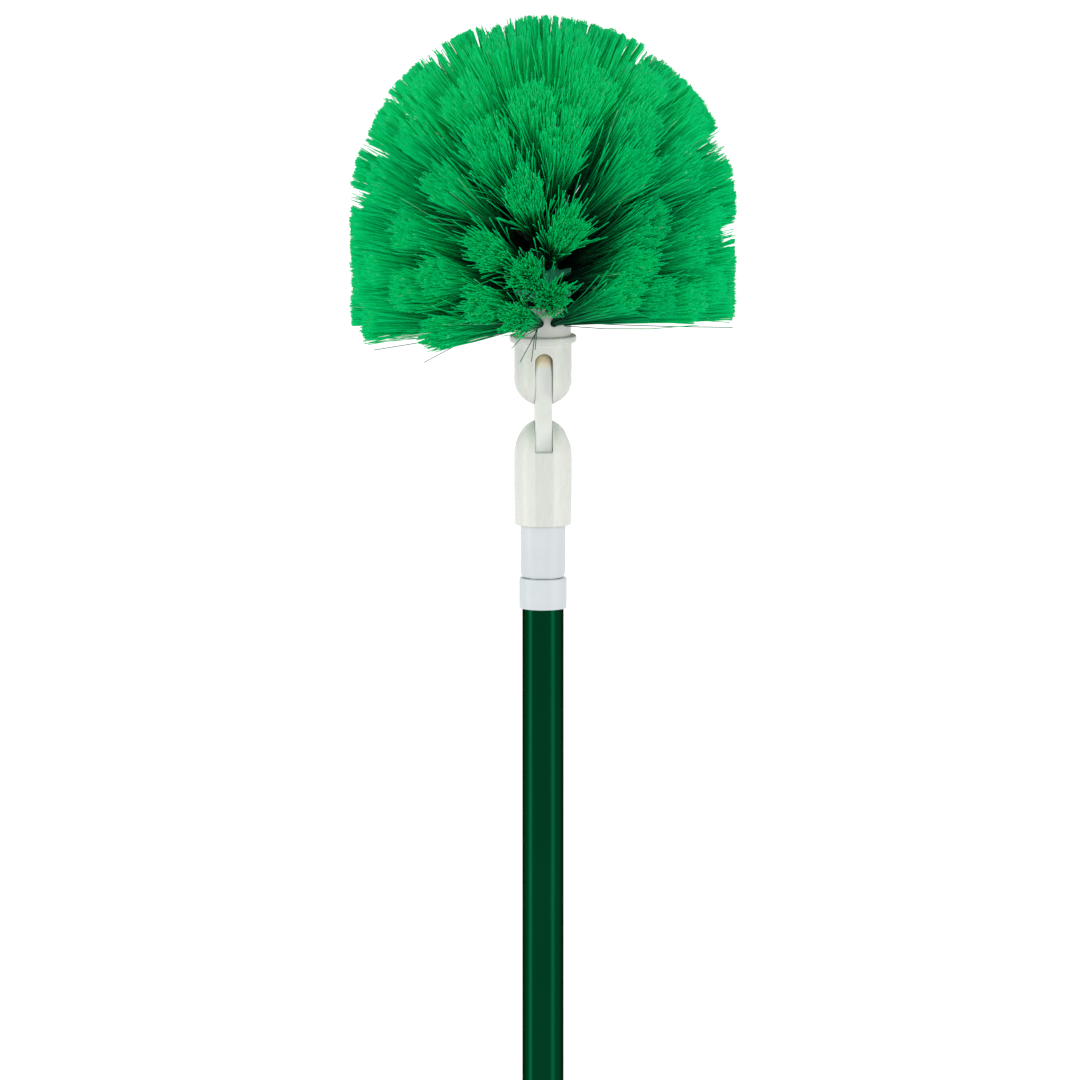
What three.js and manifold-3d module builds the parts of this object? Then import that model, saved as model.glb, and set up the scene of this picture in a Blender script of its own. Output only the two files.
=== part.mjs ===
// Swivel duster: a domed bristle head on a double hinge, screwed onto a two-piece extending pole.
// Millimetres, +Z up the pole. The origin is the middle of the pole's flat bottom end.
// Both hinges turn about X, and the slots of their forks open towards -Y, the front, and +Y.
import * as THREE from "three";
import { mergeVertices } from "three/addons/utils/BufferGeometryUtils.js";
import Module from "manifold-3d";

const wasm = await Module();
wasm.setup();

// Fits
const seatGap = 0.2; // between pieces that stay put
const runGap = 0.3; // between pieces that move past each other

// Pole tubes
const outerTubeDiameter = 22.2;
const outerTubeWall = 0.6;
const outerTubeLength = 674;
const innerTubeWall = 0.7;

// End cap, with its hole for hanging the duster up
const endCapHeight = 30;
const endCapLip = 0.9;
const endCapRounding = 3;
const endCapPlugLength = 22;
const endCapPlugWall = 2;
const endCapLead = 1;
const hangHoleDiameter = 9;
const hangHoleHeight = 13;

// Guide collar on top of the outer tube, with a bush that the inner tube slides in
const collarHeight = 16.4;
const collarWall = 1.4;
const collarCrown = 2.4;
const collarEdge = 0.5;
const bushLength = 40;
const bushWall = 0.7;

// Twist lock at the foot of the inner tube
const lockFloorGap = 4;
const lockFlangeDiameter = 16;
const lockFlangeThickness = 3;
const journalDiameter = 10;
const journalLength = 12;
const journalOffset = 1;
const journalClearance = 0.7;
const camClearance = 0.5;
const camSlit = 3;
const lockShoulder = 2;
const lockPlugLength = 20;

// Pole tip: a sleeve over the top of the inner tube, with a threaded stud
const tipWall = 2.55;
const tipLength = 28;
const tipFootInset = 0.6;
const tipFootHeight = 2.5;
const tipSeat = 3;
const tipRoof = 7; // between the end of the tube and the shoulder under the stud
const tipEdge = 0.5;
const restGap = 0.6; // between the tip's foot and the collar with the pole closed

// Screw thread between the stud and the lower fork
const threadDiameter = 19;
const threadDepth = 1.6;
const threadPitch = 5;
const threadCrest = 1.5;
const threadRoot = 2.4;
const threadLength = 25;
const threadRelief = 1;

// Hinge forks
const forkWall = 3.25;
const forkFootInset = 0.4;
const forkFootHeight = 20;
const forkWeb = 5.5;
const grooveDepth = 1.1;
const earTipRadius = 5;
const earGap = 8.8; // between the tips of the two forks' ears
const lowerNoseDrop = 11.2;
const lowerNoseHeight = 20.2;
const lowerNoseFullness = 2.15;
const upperNoseDrop = 2.5;
const upperNoseHeight = 13.7;
const upperNoseFullness = 2;
const upperForkWeb = 4.9;
const flangeLip = 2.5;
const flangeThickness = 3.8;
const flangeEdge = 0.6;

// Link and its pivot pins
const linkThickness = 9;
const linkBreadth = 19;
const linkReach = 11.7; // of each round end from its pivot
const slotClearance = 0.8;
const slotSill = 7; // drop of the lower slot's sill below its pivot
const pivotDiameter = 5;
const pivotRecess = 0.6;

// Brush block and the screw that holds it
const blockDiameter = 30;
const blockNeck = 3.8;
const blockCoreDiameter = 11;
const spigotDiameter = 10;
const spigotDepth = 3;
const coreRise = 6; // of the core into the dome
const screwDiameter = 4;
const screwLength = 26;
const screwHeadDiameter = 8;
const screwHeadHeight = 2.6;
const screwDriveWidth = 1;
const screwDriveDepth = 1.2;

// Tufts of bristles
const brushRadius = 104;
const tuftsPerRow = 12;
const sideRows = 6;
const firstRowRise = 4;
const rowPitch = 10.2;
const domeRise = 9; // from the last side row to the base of the dome
const firstLean = 6; // degrees up from level
const leanGain = 1.25; // degrees, growing with the square of the row
const domeRowLift = 43;
const domeRowTufts = 12;
const crownRowLift = 66;
const crownRowTufts = 6;
const frontTuftAngle = -9; // degrees from the front towards +X
const strandsPerTuft = 5;
const strandRootRadius = 0.5;
const strandTipRadius = 1.2;
const tuftRootRadius = 2.2;
const tuftTipRadius = 13.5;
const tuftSink = 3;

// Facets
const roundSegments = 32;
const sliceSegments = 16;
const threadSegments = 12;
const noseSteps = 6;
const edgeSteps = 3;
const cutMargin = 2; // how far a cutting body runs past what it cuts
const joinDepth = 0.5; // how far one joined body runs into another
const goldenAngle = Math.PI * (3 - Math.sqrt(5));

// Sizes that follow from those above
const outerTubeRadius = outerTubeDiameter / 2;
const outerBoreRadius = outerTubeRadius - outerTubeWall;
const bushRadius = outerBoreRadius - seatGap;
const bushBoreRadius = bushRadius - bushWall;
const innerTubeRadius = bushBoreRadius - runGap;
const innerBoreRadius = innerTubeRadius - innerTubeWall;
const tipBoreRadius = innerTubeRadius + seatGap;
const tipRadius = tipBoreRadius + tipWall;
const tipTubeDepth = tipLength + tipSeat - tipRoof;
const forkRadius = tipRadius + seatGap + forkWall;
const flangeRadius = forkRadius + flangeLip;
const journalRadius = journalDiameter / 2;
const studRadius = threadDiameter / 2 - threadDepth;
const slotWidth = linkThickness + 2 * runGap;
const slotDepth = linkReach + slotClearance;
const lowerEarRise = lowerNoseHeight - lowerNoseDrop;
const upperEarDrop = upperNoseHeight + upperNoseDrop;
const linkSpan = lowerEarRise + earGap + upperEarDrop;
const blockRadius = blockDiameter / 2;
const blockCoreRadius = blockCoreDiameter / 2;

// Heights up the pole
const outerTubeTop = endCapHeight + outerTubeLength;
const collarTop = outerTubeTop + collarCrown;
const tipFoot = collarTop + restGap;
const lockFoot = endCapHeight + endCapPlugLength + lockFloorGap;
const innerTubeFoot = lockFoot + lockFlangeThickness + journalLength + lockShoulder;
const innerTubeTop = tipFoot + tipTubeDepth;
const innerTubeLength = innerTubeTop - innerTubeFoot;

// Heights in the lower fork, from its foot
const socketDepth = tipSeat + threadLength + threadRelief;
const lowerPivotHeight = socketDepth + forkWeb + slotDepth;
const lowerNoseFoot = lowerPivotHeight - lowerNoseDrop;

// Heights in the head, from the upper pivot
const flangeFoot = slotDepth + upperForkWeb;
const flangeTop = flangeFoot + flangeThickness;
const neckTop = flangeTop + blockNeck;
const firstRowHeight = neckTop + firstRowRise;
const lastRowHeight = firstRowHeight + (sideRows - 1) * rowPitch;
const domeBase = lastRowHeight + domeRise;
const coreTop = domeBase + coreRise;
const screwSeat = slotDepth + screwHeadHeight;

// Materials
const paintedTube = new THREE.MeshStandardMaterial({ color: 0x01371f, roughness: 0.28, metalness: 0.2 });
const bareTube = new THREE.MeshStandardMaterial({ color: 0xb9bdc0, roughness: 0.35, metalness: 0.9 });
const creamPlastic = new THREE.MeshStandardMaterial({ color: 0xe1e5dd, roughness: 0.45, metalness: 0 });
const whitePlastic = new THREE.MeshStandardMaterial({ color: 0xdee4e6, roughness: 0.4, metalness: 0 });
const darkPlastic = new THREE.MeshStandardMaterial({ color: 0x2b2d2e, roughness: 0.6, metalness: 0 });
const steel = new THREE.MeshStandardMaterial({ color: 0xc2c5c7, roughness: 0.3, metalness: 1 });
const bristleGreen = new THREE.MeshStandardMaterial({ color: 0x00a850, roughness: 0.5, metalness: 0 });

// A closed geometry as a solid that can be joined and cut.
function solid(geometry) {
  geometry.deleteAttribute("normal");
  geometry.deleteAttribute("uv");
  const merged = mergeVertices(geometry);
  const triangles = [];
  for (let start = 0; start < merged.index.count; start += 3) {
    const corners = [merged.index.getX(start), merged.index.getX(start + 1), merged.index.getX(start + 2)];
    if (new Set(corners).size === 3) {
      triangles.push(...corners);
    }
  }
  const vertProperties = Float32Array.from(merged.attributes.position.array);
  const triVerts = Uint32Array.from(triangles);
  return new wasm.Manifold(new wasm.Mesh({ numProp: 3, vertProperties, triVerts }));
}

// A solid as a named mesh.
function piece(name, body, material) {
  const { vertProperties, triVerts } = body.getMesh();
  const geometry = new THREE.BufferGeometry();
  geometry.setAttribute("position", new THREE.BufferAttribute(vertProperties, 3));
  geometry.setIndex(new THREE.BufferAttribute(triVerts, 1));
  geometry.computeVertexNormals();
  const mesh = new THREE.Mesh(geometry, material);
  mesh.name = name;
  return mesh;
}

// An outline of [radius, height] pairs, anticlockwise, closed and turned round the Z axis.
function revolve(outline, segments = roundSegments) {
  const points = outline.map(([radius, height]) => new THREE.Vector2(radius, height));
  points.push(points[0].clone());
  const lathe = new THREE.LatheGeometry(points, segments);
  lathe.rotateX(Math.PI / 2);
  return solid(lathe);
}

// A ring or, with no inner radius, a disc between two heights.
function ring(innerRadius, outerRadius, bottom, top, segments = roundSegments) {
  const outline = [[innerRadius, bottom], [outerRadius, bottom], [outerRadius, top], [innerRadius, top]];
  return revolve(outline, segments);
}

// A round bar along X, centred on the given height.
function barAlongX(radius, length, height) {
  const bar = new THREE.CylinderGeometry(radius, radius, length, roundSegments);
  bar.rotateZ(Math.PI / 2);
  bar.translate(0, 0, height);
  return solid(bar);
}

// A round bar along Y, centred on the given height.
function barAlongY(radius, length, height) {
  const bar = new THREE.CylinderGeometry(radius, radius, length, roundSegments);
  bar.translate(0, 0, height);
  return solid(bar);
}

// A block of the given size about a centre.
function block(width, depth, height, centre) {
  const shape = new THREE.BoxGeometry(width, depth, height);
  shape.translate(...centre);
  return solid(shape);
}

// A quarter-round edge between two directions, as outline points about a centre.
function roundedEdge(centreRadius, centreHeight, edgeRadius, startAngle) {
  const points = [];
  for (let step = 0; step <= edgeSteps; step += 1) {
    const angle = startAngle + (Math.PI / 2) * (step / edgeSteps);
    points.push([centreRadius + edgeRadius * Math.cos(angle), centreHeight + edgeRadius * Math.sin(angle)]);
  }
  return points;
}

// Radius of a fork's nose at a distance from where it begins, narrowing to the ear's flat tip.
function noseRadius(distance, noseHeight, fullness) {
  const tipShare = 1 - (earTipRadius / forkRadius) ** fullness;
  const drop = tipShare * (Math.max(distance, 0) / noseHeight) ** fullness;
  return forkRadius * (1 - drop) ** (1 / fullness);
}

// Outline points of a nose from its beginning to its tip, growing up (1) or down (-1).
function noseOutline(foot, noseHeight, fullness, growth) {
  const points = [];
  for (let step = 0; step <= noseSteps; step += 1) {
    const distance = noseHeight * Math.sin((Math.PI / 2) * (step / noseSteps));
    points.push([noseRadius(distance, noseHeight, fullness), foot + growth * distance]);
  }
  return points;
}

// A screw thread's ridge wound round the Z axis between two counts of turns above a base.
function threadRidge(base, rootRadius, crestRadius, rootWidth, crestWidth, firstTurn, lastTurn) {
  const steps = Math.round((lastTurn - firstTurn) * threadSegments);
  const positions = [];
  const indices = [];
  for (let step = 0; step <= steps; step += 1) {
    const turn = firstTurn + step / threadSegments;
    const angle = 2 * Math.PI * turn;
    const height = base + threadPitch * turn;
    const section = [
      [rootRadius, height - rootWidth / 2],
      [crestRadius, height - crestWidth / 2],
      [crestRadius, height + crestWidth / 2],
      [rootRadius, height + rootWidth / 2],
    ];
    section.forEach(([radius, z]) => positions.push(radius * Math.cos(angle), radius * Math.sin(angle), z));
  }
  for (let step = 0; step < steps; step += 1) {
    for (let side = 0; side < 4; side += 1) {
      const a = step * 4 + side;
      const b = step * 4 + ((side + 1) % 4);
      indices.push(a, a + 4, b + 4, a, b + 4, b);
    }
  }
  const last = steps * 4;
  indices.push(0, 1, 2, 0, 2, 3, last, last + 2, last + 1, last, last + 3, last + 2);
  const geometry = new THREE.BufferGeometry();
  geometry.setAttribute("position", new THREE.Float32BufferAttribute(positions, 3));
  geometry.setIndex(indices);
  return solid(geometry);
}

// Pole
function endCap() {
  const capRadius = outerTubeRadius + endCapLip;
  const plugRadius = outerBoreRadius - seatGap;
  const plugBore = plugRadius - endCapPlugWall;
  const plugTop = endCapHeight + endCapPlugLength;
  const shell = revolve([
    [0, 0],
    ...roundedEdge(capRadius - endCapRounding, endCapRounding, endCapRounding, -Math.PI / 2),
    [capRadius, endCapHeight],
    [plugRadius, endCapHeight],
    [plugRadius, plugTop - endCapLead],
    [plugRadius - endCapLead, plugTop],
    [plugBore, plugTop],
    [plugBore, endCapHeight],
    [0, endCapHeight],
  ]);
  const hole = barAlongY(hangHoleDiameter / 2, 2 * capRadius + 2 * cutMargin, hangHoleHeight);
  return piece("end_cap", shell.subtract(hole), whitePlastic);
}

function outerTube() {
  const tube = ring(outerBoreRadius, outerTubeRadius, endCapHeight, outerTubeTop);
  return piece("outer_tube", tube, paintedTube);
}

function guideCollar() {
  const skirtBore = outerTubeRadius + seatGap;
  const collarRadius = skirtBore + collarWall;
  const collarFoot = collarTop - collarHeight;
  const body = revolve([
    [skirtBore, collarFoot],
    [collarRadius - collarEdge, collarFoot],
    [collarRadius, collarFoot + collarEdge],
    [collarRadius, collarTop - collarEdge],
    [collarRadius - collarEdge, collarTop],
    [bushBoreRadius, collarTop],
    [bushBoreRadius, outerTubeTop - bushLength],
    [bushRadius, outerTubeTop - bushLength],
    [bushRadius, outerTubeTop],
    [skirtBore, outerTubeTop],
  ]);
  return piece("guide_collar", body, whitePlastic);
}

function innerTube() {
  const tube = ring(innerBoreRadius, innerTubeRadius, 0, innerTubeLength);
  return piece("inner_tube", tube, bareTube);
}

// The lock's plug sits in the foot of the inner tube, with an off-centre journal below it.
function lockPlug() {
  const journalTop = -lockShoulder;
  const journalFoot = journalTop - journalLength;
  const plugRadius = innerBoreRadius - seatGap;
  const plug = revolve([
    [0, journalTop],
    [innerTubeRadius, journalTop],
    [innerTubeRadius, 0],
    [plugRadius, 0],
    [plugRadius, lockPlugLength],
    [0, lockPlugLength],
  ]);
  const shaftLength = journalLength + 2 * joinDepth;
  const shaft = new THREE.CylinderGeometry(journalRadius, journalRadius, shaftLength, roundSegments);
  shaft.rotateX(Math.PI / 2);
  shaft.translate(journalOffset, 0, journalFoot + journalLength / 2);
  const flange = ring(0, lockFlangeDiameter / 2, journalFoot - lockFlangeThickness, journalFoot);
  return piece("lock_plug", plug.add(solid(shaft)).add(flange), darkPlastic);
}

// The cam rides on the journal and wedges in the outer tube when the inner pole is twisted.
function lockCam() {
  const camRadius = outerBoreRadius - camClearance;
  const boreRadius = journalRadius + journalClearance;
  const camTop = -lockShoulder - runGap;
  const camHeight = journalLength - 2 * runGap;
  const disc = ring(0, camRadius, camTop - camHeight, camTop);
  const cutHeight = camHeight + 2 * cutMargin;
  const middle = camTop - camHeight / 2;
  const bore = new THREE.CylinderGeometry(boreRadius, boreRadius, cutHeight, roundSegments);
  bore.rotateX(Math.PI / 2);
  bore.translate(journalOffset, 0, middle);
  const slitLength = camRadius + cutMargin;
  const slit = block(slitLength, camSlit, cutHeight, [journalOffset + slitLength / 2, 0, middle]);
  return piece("lock_cam", disc.subtract(solid(bore)).subtract(slit), darkPlastic);
}

function poleTip() {
  const shoulder = tipLength + tipSeat;
  const studTop = shoulder + threadLength;
  const body = revolve([
    [tipBoreRadius, 0],
    [tipRadius - tipFootInset, 0],
    [tipRadius, tipFootHeight],
    [tipRadius, shoulder - tipEdge],
    [tipRadius - tipEdge, shoulder],
    [studRadius, shoulder],
    [studRadius, studTop - tipEdge],
    [studRadius - tipEdge, studTop],
    [0, studTop],
    [0, tipTubeDepth],
    [tipBoreRadius, tipTubeDepth],
  ]);
  const firstTurn = (shoulder + threadRoot) / threadPitch;
  const lastTurn = (studTop - threadRoot) / threadPitch;
  const coreRadius = studRadius - joinDepth;
  const crestRadius = threadDiameter / 2;
  const ridge = threadRidge(0, coreRadius, crestRadius, threadRoot, threadCrest, firstTurn, lastTurn);
  return piece("pole_tip", body.add(ridge), whitePlastic);
}

// The socket that the pole tip screws into, measured from the fork's foot.
function threadedSocket() {
  const mouth = ring(0, tipRadius + seatGap, -cutMargin, tipSeat + seatGap);
  const bore = ring(0, studRadius + runGap, 0, socketDepth);
  const firstTurn = tipLength / threadPitch;
  const lastTurn = (tipLength + socketDepth - threadRoot) / threadPitch;
  const coreRadius = studRadius - joinDepth;
  const grooveRadius = threadDiameter / 2 + runGap;
  const grooveRoot = threadRoot + 2 * runGap;
  const grooveCrest = threadCrest + 2 * runGap;
  const foot = -tipLength;
  const groove = threadRidge(foot, coreRadius, grooveRadius, grooveRoot, grooveCrest, firstTurn, lastTurn);
  return mouth.add(bore).add(groove);
}

function lowerFork() {
  const outline = revolve([
    [0, 0],
    [forkRadius - forkFootInset, 0],
    [forkRadius, forkFootHeight],
    ...noseOutline(lowerNoseFoot, lowerNoseHeight, lowerNoseFullness, 1),
    [0, lowerNoseFoot + lowerNoseHeight],
  ]);
  const sill = lowerPivotHeight - slotSill;
  const slotHeight = slotSill + lowerEarRise + cutMargin;
  const through = 2 * forkRadius + 2 * cutMargin;
  const slot = block(slotWidth, through, slotHeight, [0, 0, sill + slotHeight / 2]);
  const pocket = barAlongX(slotDepth, slotWidth, lowerPivotHeight);
  const hole = barAlongX(pivotDiameter / 2 + seatGap, through, lowerPivotHeight);
  let fork = outline.subtract(slot).subtract(pocket).subtract(hole).subtract(threadedSocket());
  const grooveCut = grooveDepth + cutMargin;
  const grooveHeight = sill + 2 * cutMargin;
  for (const side of [-1, 1]) {
    const grooveMiddle = side * (forkRadius - grooveDepth + grooveCut / 2);
    fork = fork.subtract(block(slotWidth, grooveCut, grooveHeight, [0, grooveMiddle, sill / 2]));
  }
  return piece("lower_fork", fork, creamPlastic);
}

// Swivel
function pivotPin(name, surfaceRadius) {
  const length = 2 * (surfaceRadius - pivotRecess);
  return piece(name, barAlongX(pivotDiameter / 2, length, 0), steel);
}

// An end of the link is cut flat at the link's edges.
function trimToBreadth(disc, height) {
  return disc.intersect(block(2 * linkThickness, linkBreadth, 2 * linkReach + cutMargin, [0, 0, height]));
}

// The lower end: a plain disc about X, for the round pocket under the lower fork's slot.
function linkFoot(height) {
  return trimToBreadth(barAlongX(linkReach, linkThickness, height), height);
}

// The upper end: a disc about X with a fully rounded rim, for the upper fork's arched slot.
function linkHead(height) {
  const half = linkThickness / 2;
  const outline = [[0, -half]];
  for (let step = 0; step <= 2 * edgeSteps; step += 1) {
    const angle = -Math.PI / 2 + Math.PI * (step / (2 * edgeSteps));
    outline.push([linkReach - half + half * Math.cos(angle), half * Math.sin(angle)]);
  }
  outline.push([0, half]);
  const points = outline.map(([radius, across]) => new THREE.Vector2(radius, across));
  const disc = new THREE.LatheGeometry(points, roundSegments);
  disc.rotateZ(-Math.PI / 2);
  disc.translate(0, 0, height);
  return trimToBreadth(solid(disc), height);
}

function swivelLink() {
  const bar = block(linkThickness, linkBreadth, linkSpan, [0, 0, linkSpan / 2]);
  const holeLength = linkThickness + 2 * cutMargin;
  let link = bar.add(linkFoot(0)).add(linkHead(linkSpan));
  for (const height of [0, linkSpan]) {
    link = link.subtract(barAlongX(pivotDiameter / 2 + runGap, holeLength, height));
  }
  return piece("swivel_link", link, creamPlastic);
}

// Head
function archedSlot(through) {
  const half = slotWidth / 2;
  const spring = slotDepth - half;
  const shape = new THREE.Shape();
  shape.moveTo(-half, -upperEarDrop - cutMargin);
  shape.lineTo(half, -upperEarDrop - cutMargin);
  shape.lineTo(half, spring);
  shape.absarc(0, spring, half, 0, Math.PI, false);
  shape.closePath();
  const extrusion = { depth: through, bevelEnabled: false, curveSegments: edgeSteps * 3 };
  const slot = new THREE.ExtrudeGeometry(shape, extrusion);
  slot.rotateX(Math.PI / 2);
  slot.translate(0, through / 2, 0);
  return solid(slot);
}

function upperFork() {
  const outline = revolve([
    ...noseOutline(-upperNoseDrop, upperNoseHeight, upperNoseFullness, -1).reverse(),
    [forkRadius, flangeFoot],
    [flangeRadius - flangeEdge, flangeFoot],
    [flangeRadius, flangeFoot + flangeEdge],
    [flangeRadius, flangeTop - flangeEdge],
    [flangeRadius - flangeEdge, flangeTop],
    [0, flangeTop],
    [0, -upperEarDrop],
  ]);
  const through = 2 * flangeRadius + 2 * cutMargin;
  const hole = barAlongX(pivotDiameter / 2 + seatGap, through, 0);
  const headHole = ring(0, screwHeadDiameter / 2 + seatGap, 0, screwSeat);
  const shankHole = ring(0, screwDiameter / 2 + seatGap, 0, flangeTop + cutMargin);
  const spigotFloor = flangeTop - spigotDepth - seatGap;
  const spigotHole = ring(0, spigotDiameter / 2 + seatGap, spigotFloor, flangeTop + cutMargin);
  const cuts = archedSlot(through).add(hole).add(headHole).add(shankHole).add(spigotHole);
  return piece("upper_fork", outline.subtract(cuts), creamPlastic);
}

function blockScrew() {
  const headRadius = screwHeadDiameter / 2;
  const headFoot = screwSeat - screwHeadHeight;
  const shankRadius = screwDiameter / 2;
  const body = revolve([
    [0, headFoot],
    [headRadius - screwDriveWidth, headFoot],
    [headRadius, headFoot + screwDriveWidth],
    [headRadius, screwSeat],
    [shankRadius, screwSeat],
    [shankRadius, screwSeat + screwLength - shankRadius],
    [0, screwSeat + screwLength],
  ]);
  const driveHeight = headFoot + screwDriveDepth / 2;
  const drive = block(screwHeadDiameter + cutMargin, screwDriveWidth, screwDriveDepth, [0, 0, driveHeight]);
  return piece("block_screw", body.subtract(drive), steel);
}

// The block's neck stands on the flange, and its core carries the tufted slices.
function brushBlock() {
  const body = revolve([
    [0, flangeTop - spigotDepth],
    [spigotDiameter / 2, flangeTop - spigotDepth],
    [spigotDiameter / 2, flangeTop],
    [blockRadius, flangeTop],
    [blockRadius, neckTop],
    [blockCoreRadius, neckTop],
    [blockCoreRadius, coreTop],
    [0, coreTop],
  ]);
  const pilot = ring(0, screwDiameter / 2 + seatGap, 0, screwSeat + screwLength + seatGap);
  return piece("brush_block", body.subtract(pilot), creamPlastic);
}

// One row of tufts: how many, where they stand on the block and how far they lean up from level.
function sideRow(row) {
  return {
    count: tuftsPerRow,
    radius: blockRadius,
    height: firstRowHeight + row * rowPitch,
    lean: THREE.MathUtils.degToRad(firstLean + leanGain * row ** 2),
    stagger: row % 2 === 0 ? 0 : 0.5,
  };
}

function domeRow(count, lift, stagger) {
  const lean = THREE.MathUtils.degToRad(lift);
  return {
    count,
    radius: blockRadius * Math.cos(lean),
    height: domeBase + blockRadius * Math.sin(lean),
    lean,
    stagger,
  };
}

// Distance along a strand to the trimmed surface: a cylinder below the dome's base, a dome above it.
function trimmedLength(start, direction) {
  const level = new THREE.Vector2(direction.x, direction.y);
  const startLevel = new THREE.Vector2(start.x, start.y);
  const reach = (a, b, c) => (-b + Math.sqrt(b * b - a * c)) / a;
  const toSide = reach(level.lengthSq(), startLevel.dot(level), startLevel.lengthSq() - brushRadius ** 2);
  if (start.z + toSide * direction.z <= domeBase) {
    return toSide;
  }
  const fromCentre = start.clone().sub(new THREE.Vector3(0, 0, domeBase));
  return reach(1, fromCentre.dot(direction), fromCentre.lengthSq() - brushRadius ** 2);
}

// A tapered strand of three sides with flat ends.
function strand(start, end) {
  const axis = end.clone().sub(start).normalize();
  const first = new THREE.Vector3(-axis.y, axis.x, 0).normalize();
  const second = new THREE.Vector3().crossVectors(axis, first);
  const positions = [];
  for (const [centre, radius] of [[start, strandRootRadius], [end, strandTipRadius]]) {
    for (let corner = 0; corner < 3; corner += 1) {
      const angle = (2 * Math.PI * corner) / 3;
      const point = centre.clone().addScaledVector(first, radius * Math.cos(angle));
      positions.push(...point.addScaledVector(second, radius * Math.sin(angle)).toArray());
    }
  }
  const geometry = new THREE.BufferGeometry();
  geometry.setAttribute("position", new THREE.Float32BufferAttribute(positions, 3));
  geometry.setIndex([0, 2, 1, 3, 4, 5, 0, 1, 4, 0, 4, 3, 1, 2, 5, 1, 5, 4, 2, 0, 3, 2, 3, 5]);
  return solid(geometry);
}

// The strands of one tuft spread evenly from its hole, like seeds on a sunflower, so none cross.
function tuftStrands(row, index) {
  const pitch = (2 * Math.PI) / row.count;
  const turn = THREE.MathUtils.degToRad(frontTuftAngle) + (index + row.stagger) * pitch;
  const outward = new THREE.Vector3(Math.sin(turn), -Math.cos(turn), 0);
  const sideways = new THREE.Vector3(Math.cos(turn), Math.sin(turn), 0);
  const axis = outward.clone().multiplyScalar(Math.cos(row.lean));
  axis.z = Math.sin(row.lean);
  const across = new THREE.Vector3().crossVectors(axis, sideways);
  const hole = outward.clone().multiplyScalar(row.radius);
  hole.z = row.height;
  const base = hole.clone().addScaledVector(axis, -tuftSink);
  const target = hole.clone().addScaledVector(axis, trimmedLength(hole, axis));
  const strands = [];
  for (let number = 0; number < strandsPerTuft; number += 1) {
    const share = Math.sqrt((number + 0.5) / strandsPerTuft);
    const angle = number * goldenAngle;
    const spread = sideways.clone().multiplyScalar(share * Math.cos(angle));
    spread.addScaledVector(across, share * Math.sin(angle));
    const start = base.clone().addScaledVector(spread, tuftRootRadius);
    const aim = target.clone().addScaledVector(spread, tuftTipRadius);
    const direction = aim.sub(start).normalize();
    const end = start.clone().addScaledVector(direction, trimmedLength(start, direction));
    strands.push(strand(start, end));
  }
  return strands;
}

// A slice of the block with the tufts that grow out of it.
function tuftedSlice(name, slice, rows) {
  let body = slice;
  for (const row of rows) {
    for (let index = 0; index < row.count; index += 1) {
      for (const bristle of tuftStrands(row, index)) {
        body = body.add(bristle);
      }
    }
  }
  return piece(name, body, bristleGreen);
}

function tuftedSlices() {
  const bore = blockCoreRadius + seatGap;
  const rows = Array.from({ length: sideRows }, (unused, row) => sideRow(row));
  const lowerStart = Math.ceil(sideRows / 3);
  const upperStart = Math.ceil((2 * sideRows) / 3);
  const belowRow = (row) => firstRowHeight + (row - 0.5) * rowPitch;
  const bottomSlice = ring(bore, blockRadius, neckTop, belowRow(lowerStart), sliceSegments);
  const lowerSlice = ring(bore, blockRadius, belowRow(lowerStart), belowRow(upperStart), sliceSegments);
  const upperSlice = ring(bore, blockRadius, belowRow(upperStart), domeBase, sliceSegments);
  const crownOutline = [
    [bore, domeBase],
    ...roundedEdge(0, domeBase, blockRadius, 0),
    [0, coreTop + seatGap],
    [bore, coreTop + seatGap],
  ];
  const crownSlice = revolve(crownOutline, sliceSegments);
  const domeTufts = domeRow(domeRowTufts, domeRowLift, 0);
  const crownTufts = domeRow(crownRowTufts, crownRowLift, 0.5);
  const topTuft = domeRow(1, 90, 0);
  return [
    tuftedSlice("bristles_bottom", bottomSlice, rows.slice(0, lowerStart)),
    tuftedSlice("bristles_lower", lowerSlice, rows.slice(lowerStart, upperStart)),
    tuftedSlice("bristles_upper", upperSlice, rows.slice(upperStart)),
    tuftedSlice("bristles_crown", crownSlice, [domeTufts, crownTufts, topTuft]),
  ];
}

// Assembly: each moving body is a group inside the one that carries it.
function at(height, ...members) {
  const group = new THREE.Group();
  group.position.z = height;
  group.add(...members);
  return group;
}

const lowerPinTop = lowerNoseDrop + pivotDiameter / 2;
const lowerPinRadius = noseRadius(lowerPinTop, lowerNoseHeight, lowerNoseFullness);
const upperPin = pivotPin("upper_pivot_pin", forkRadius);
const lowerPin = at(lowerPivotHeight, pivotPin("lower_pivot_pin", lowerPinRadius));
const head = at(linkSpan, upperFork(), upperPin, blockScrew(), brushBlock(), ...tuftedSlices());
const swivel = at(lowerPivotHeight, swivelLink(), head);
const hinge = at(tipFoot + tipLength, lowerFork(), lowerPin, swivel);
const lock = at(innerTubeFoot, innerTube(), lockPlug(), lockCam());
const tip = at(tipFoot, poleTip());

const duster = new THREE.Group();
duster.name = "swivel_duster";
duster.add(endCap(), outerTube(), guideCollar(), lock, tip, hinge);

export default duster;
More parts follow.
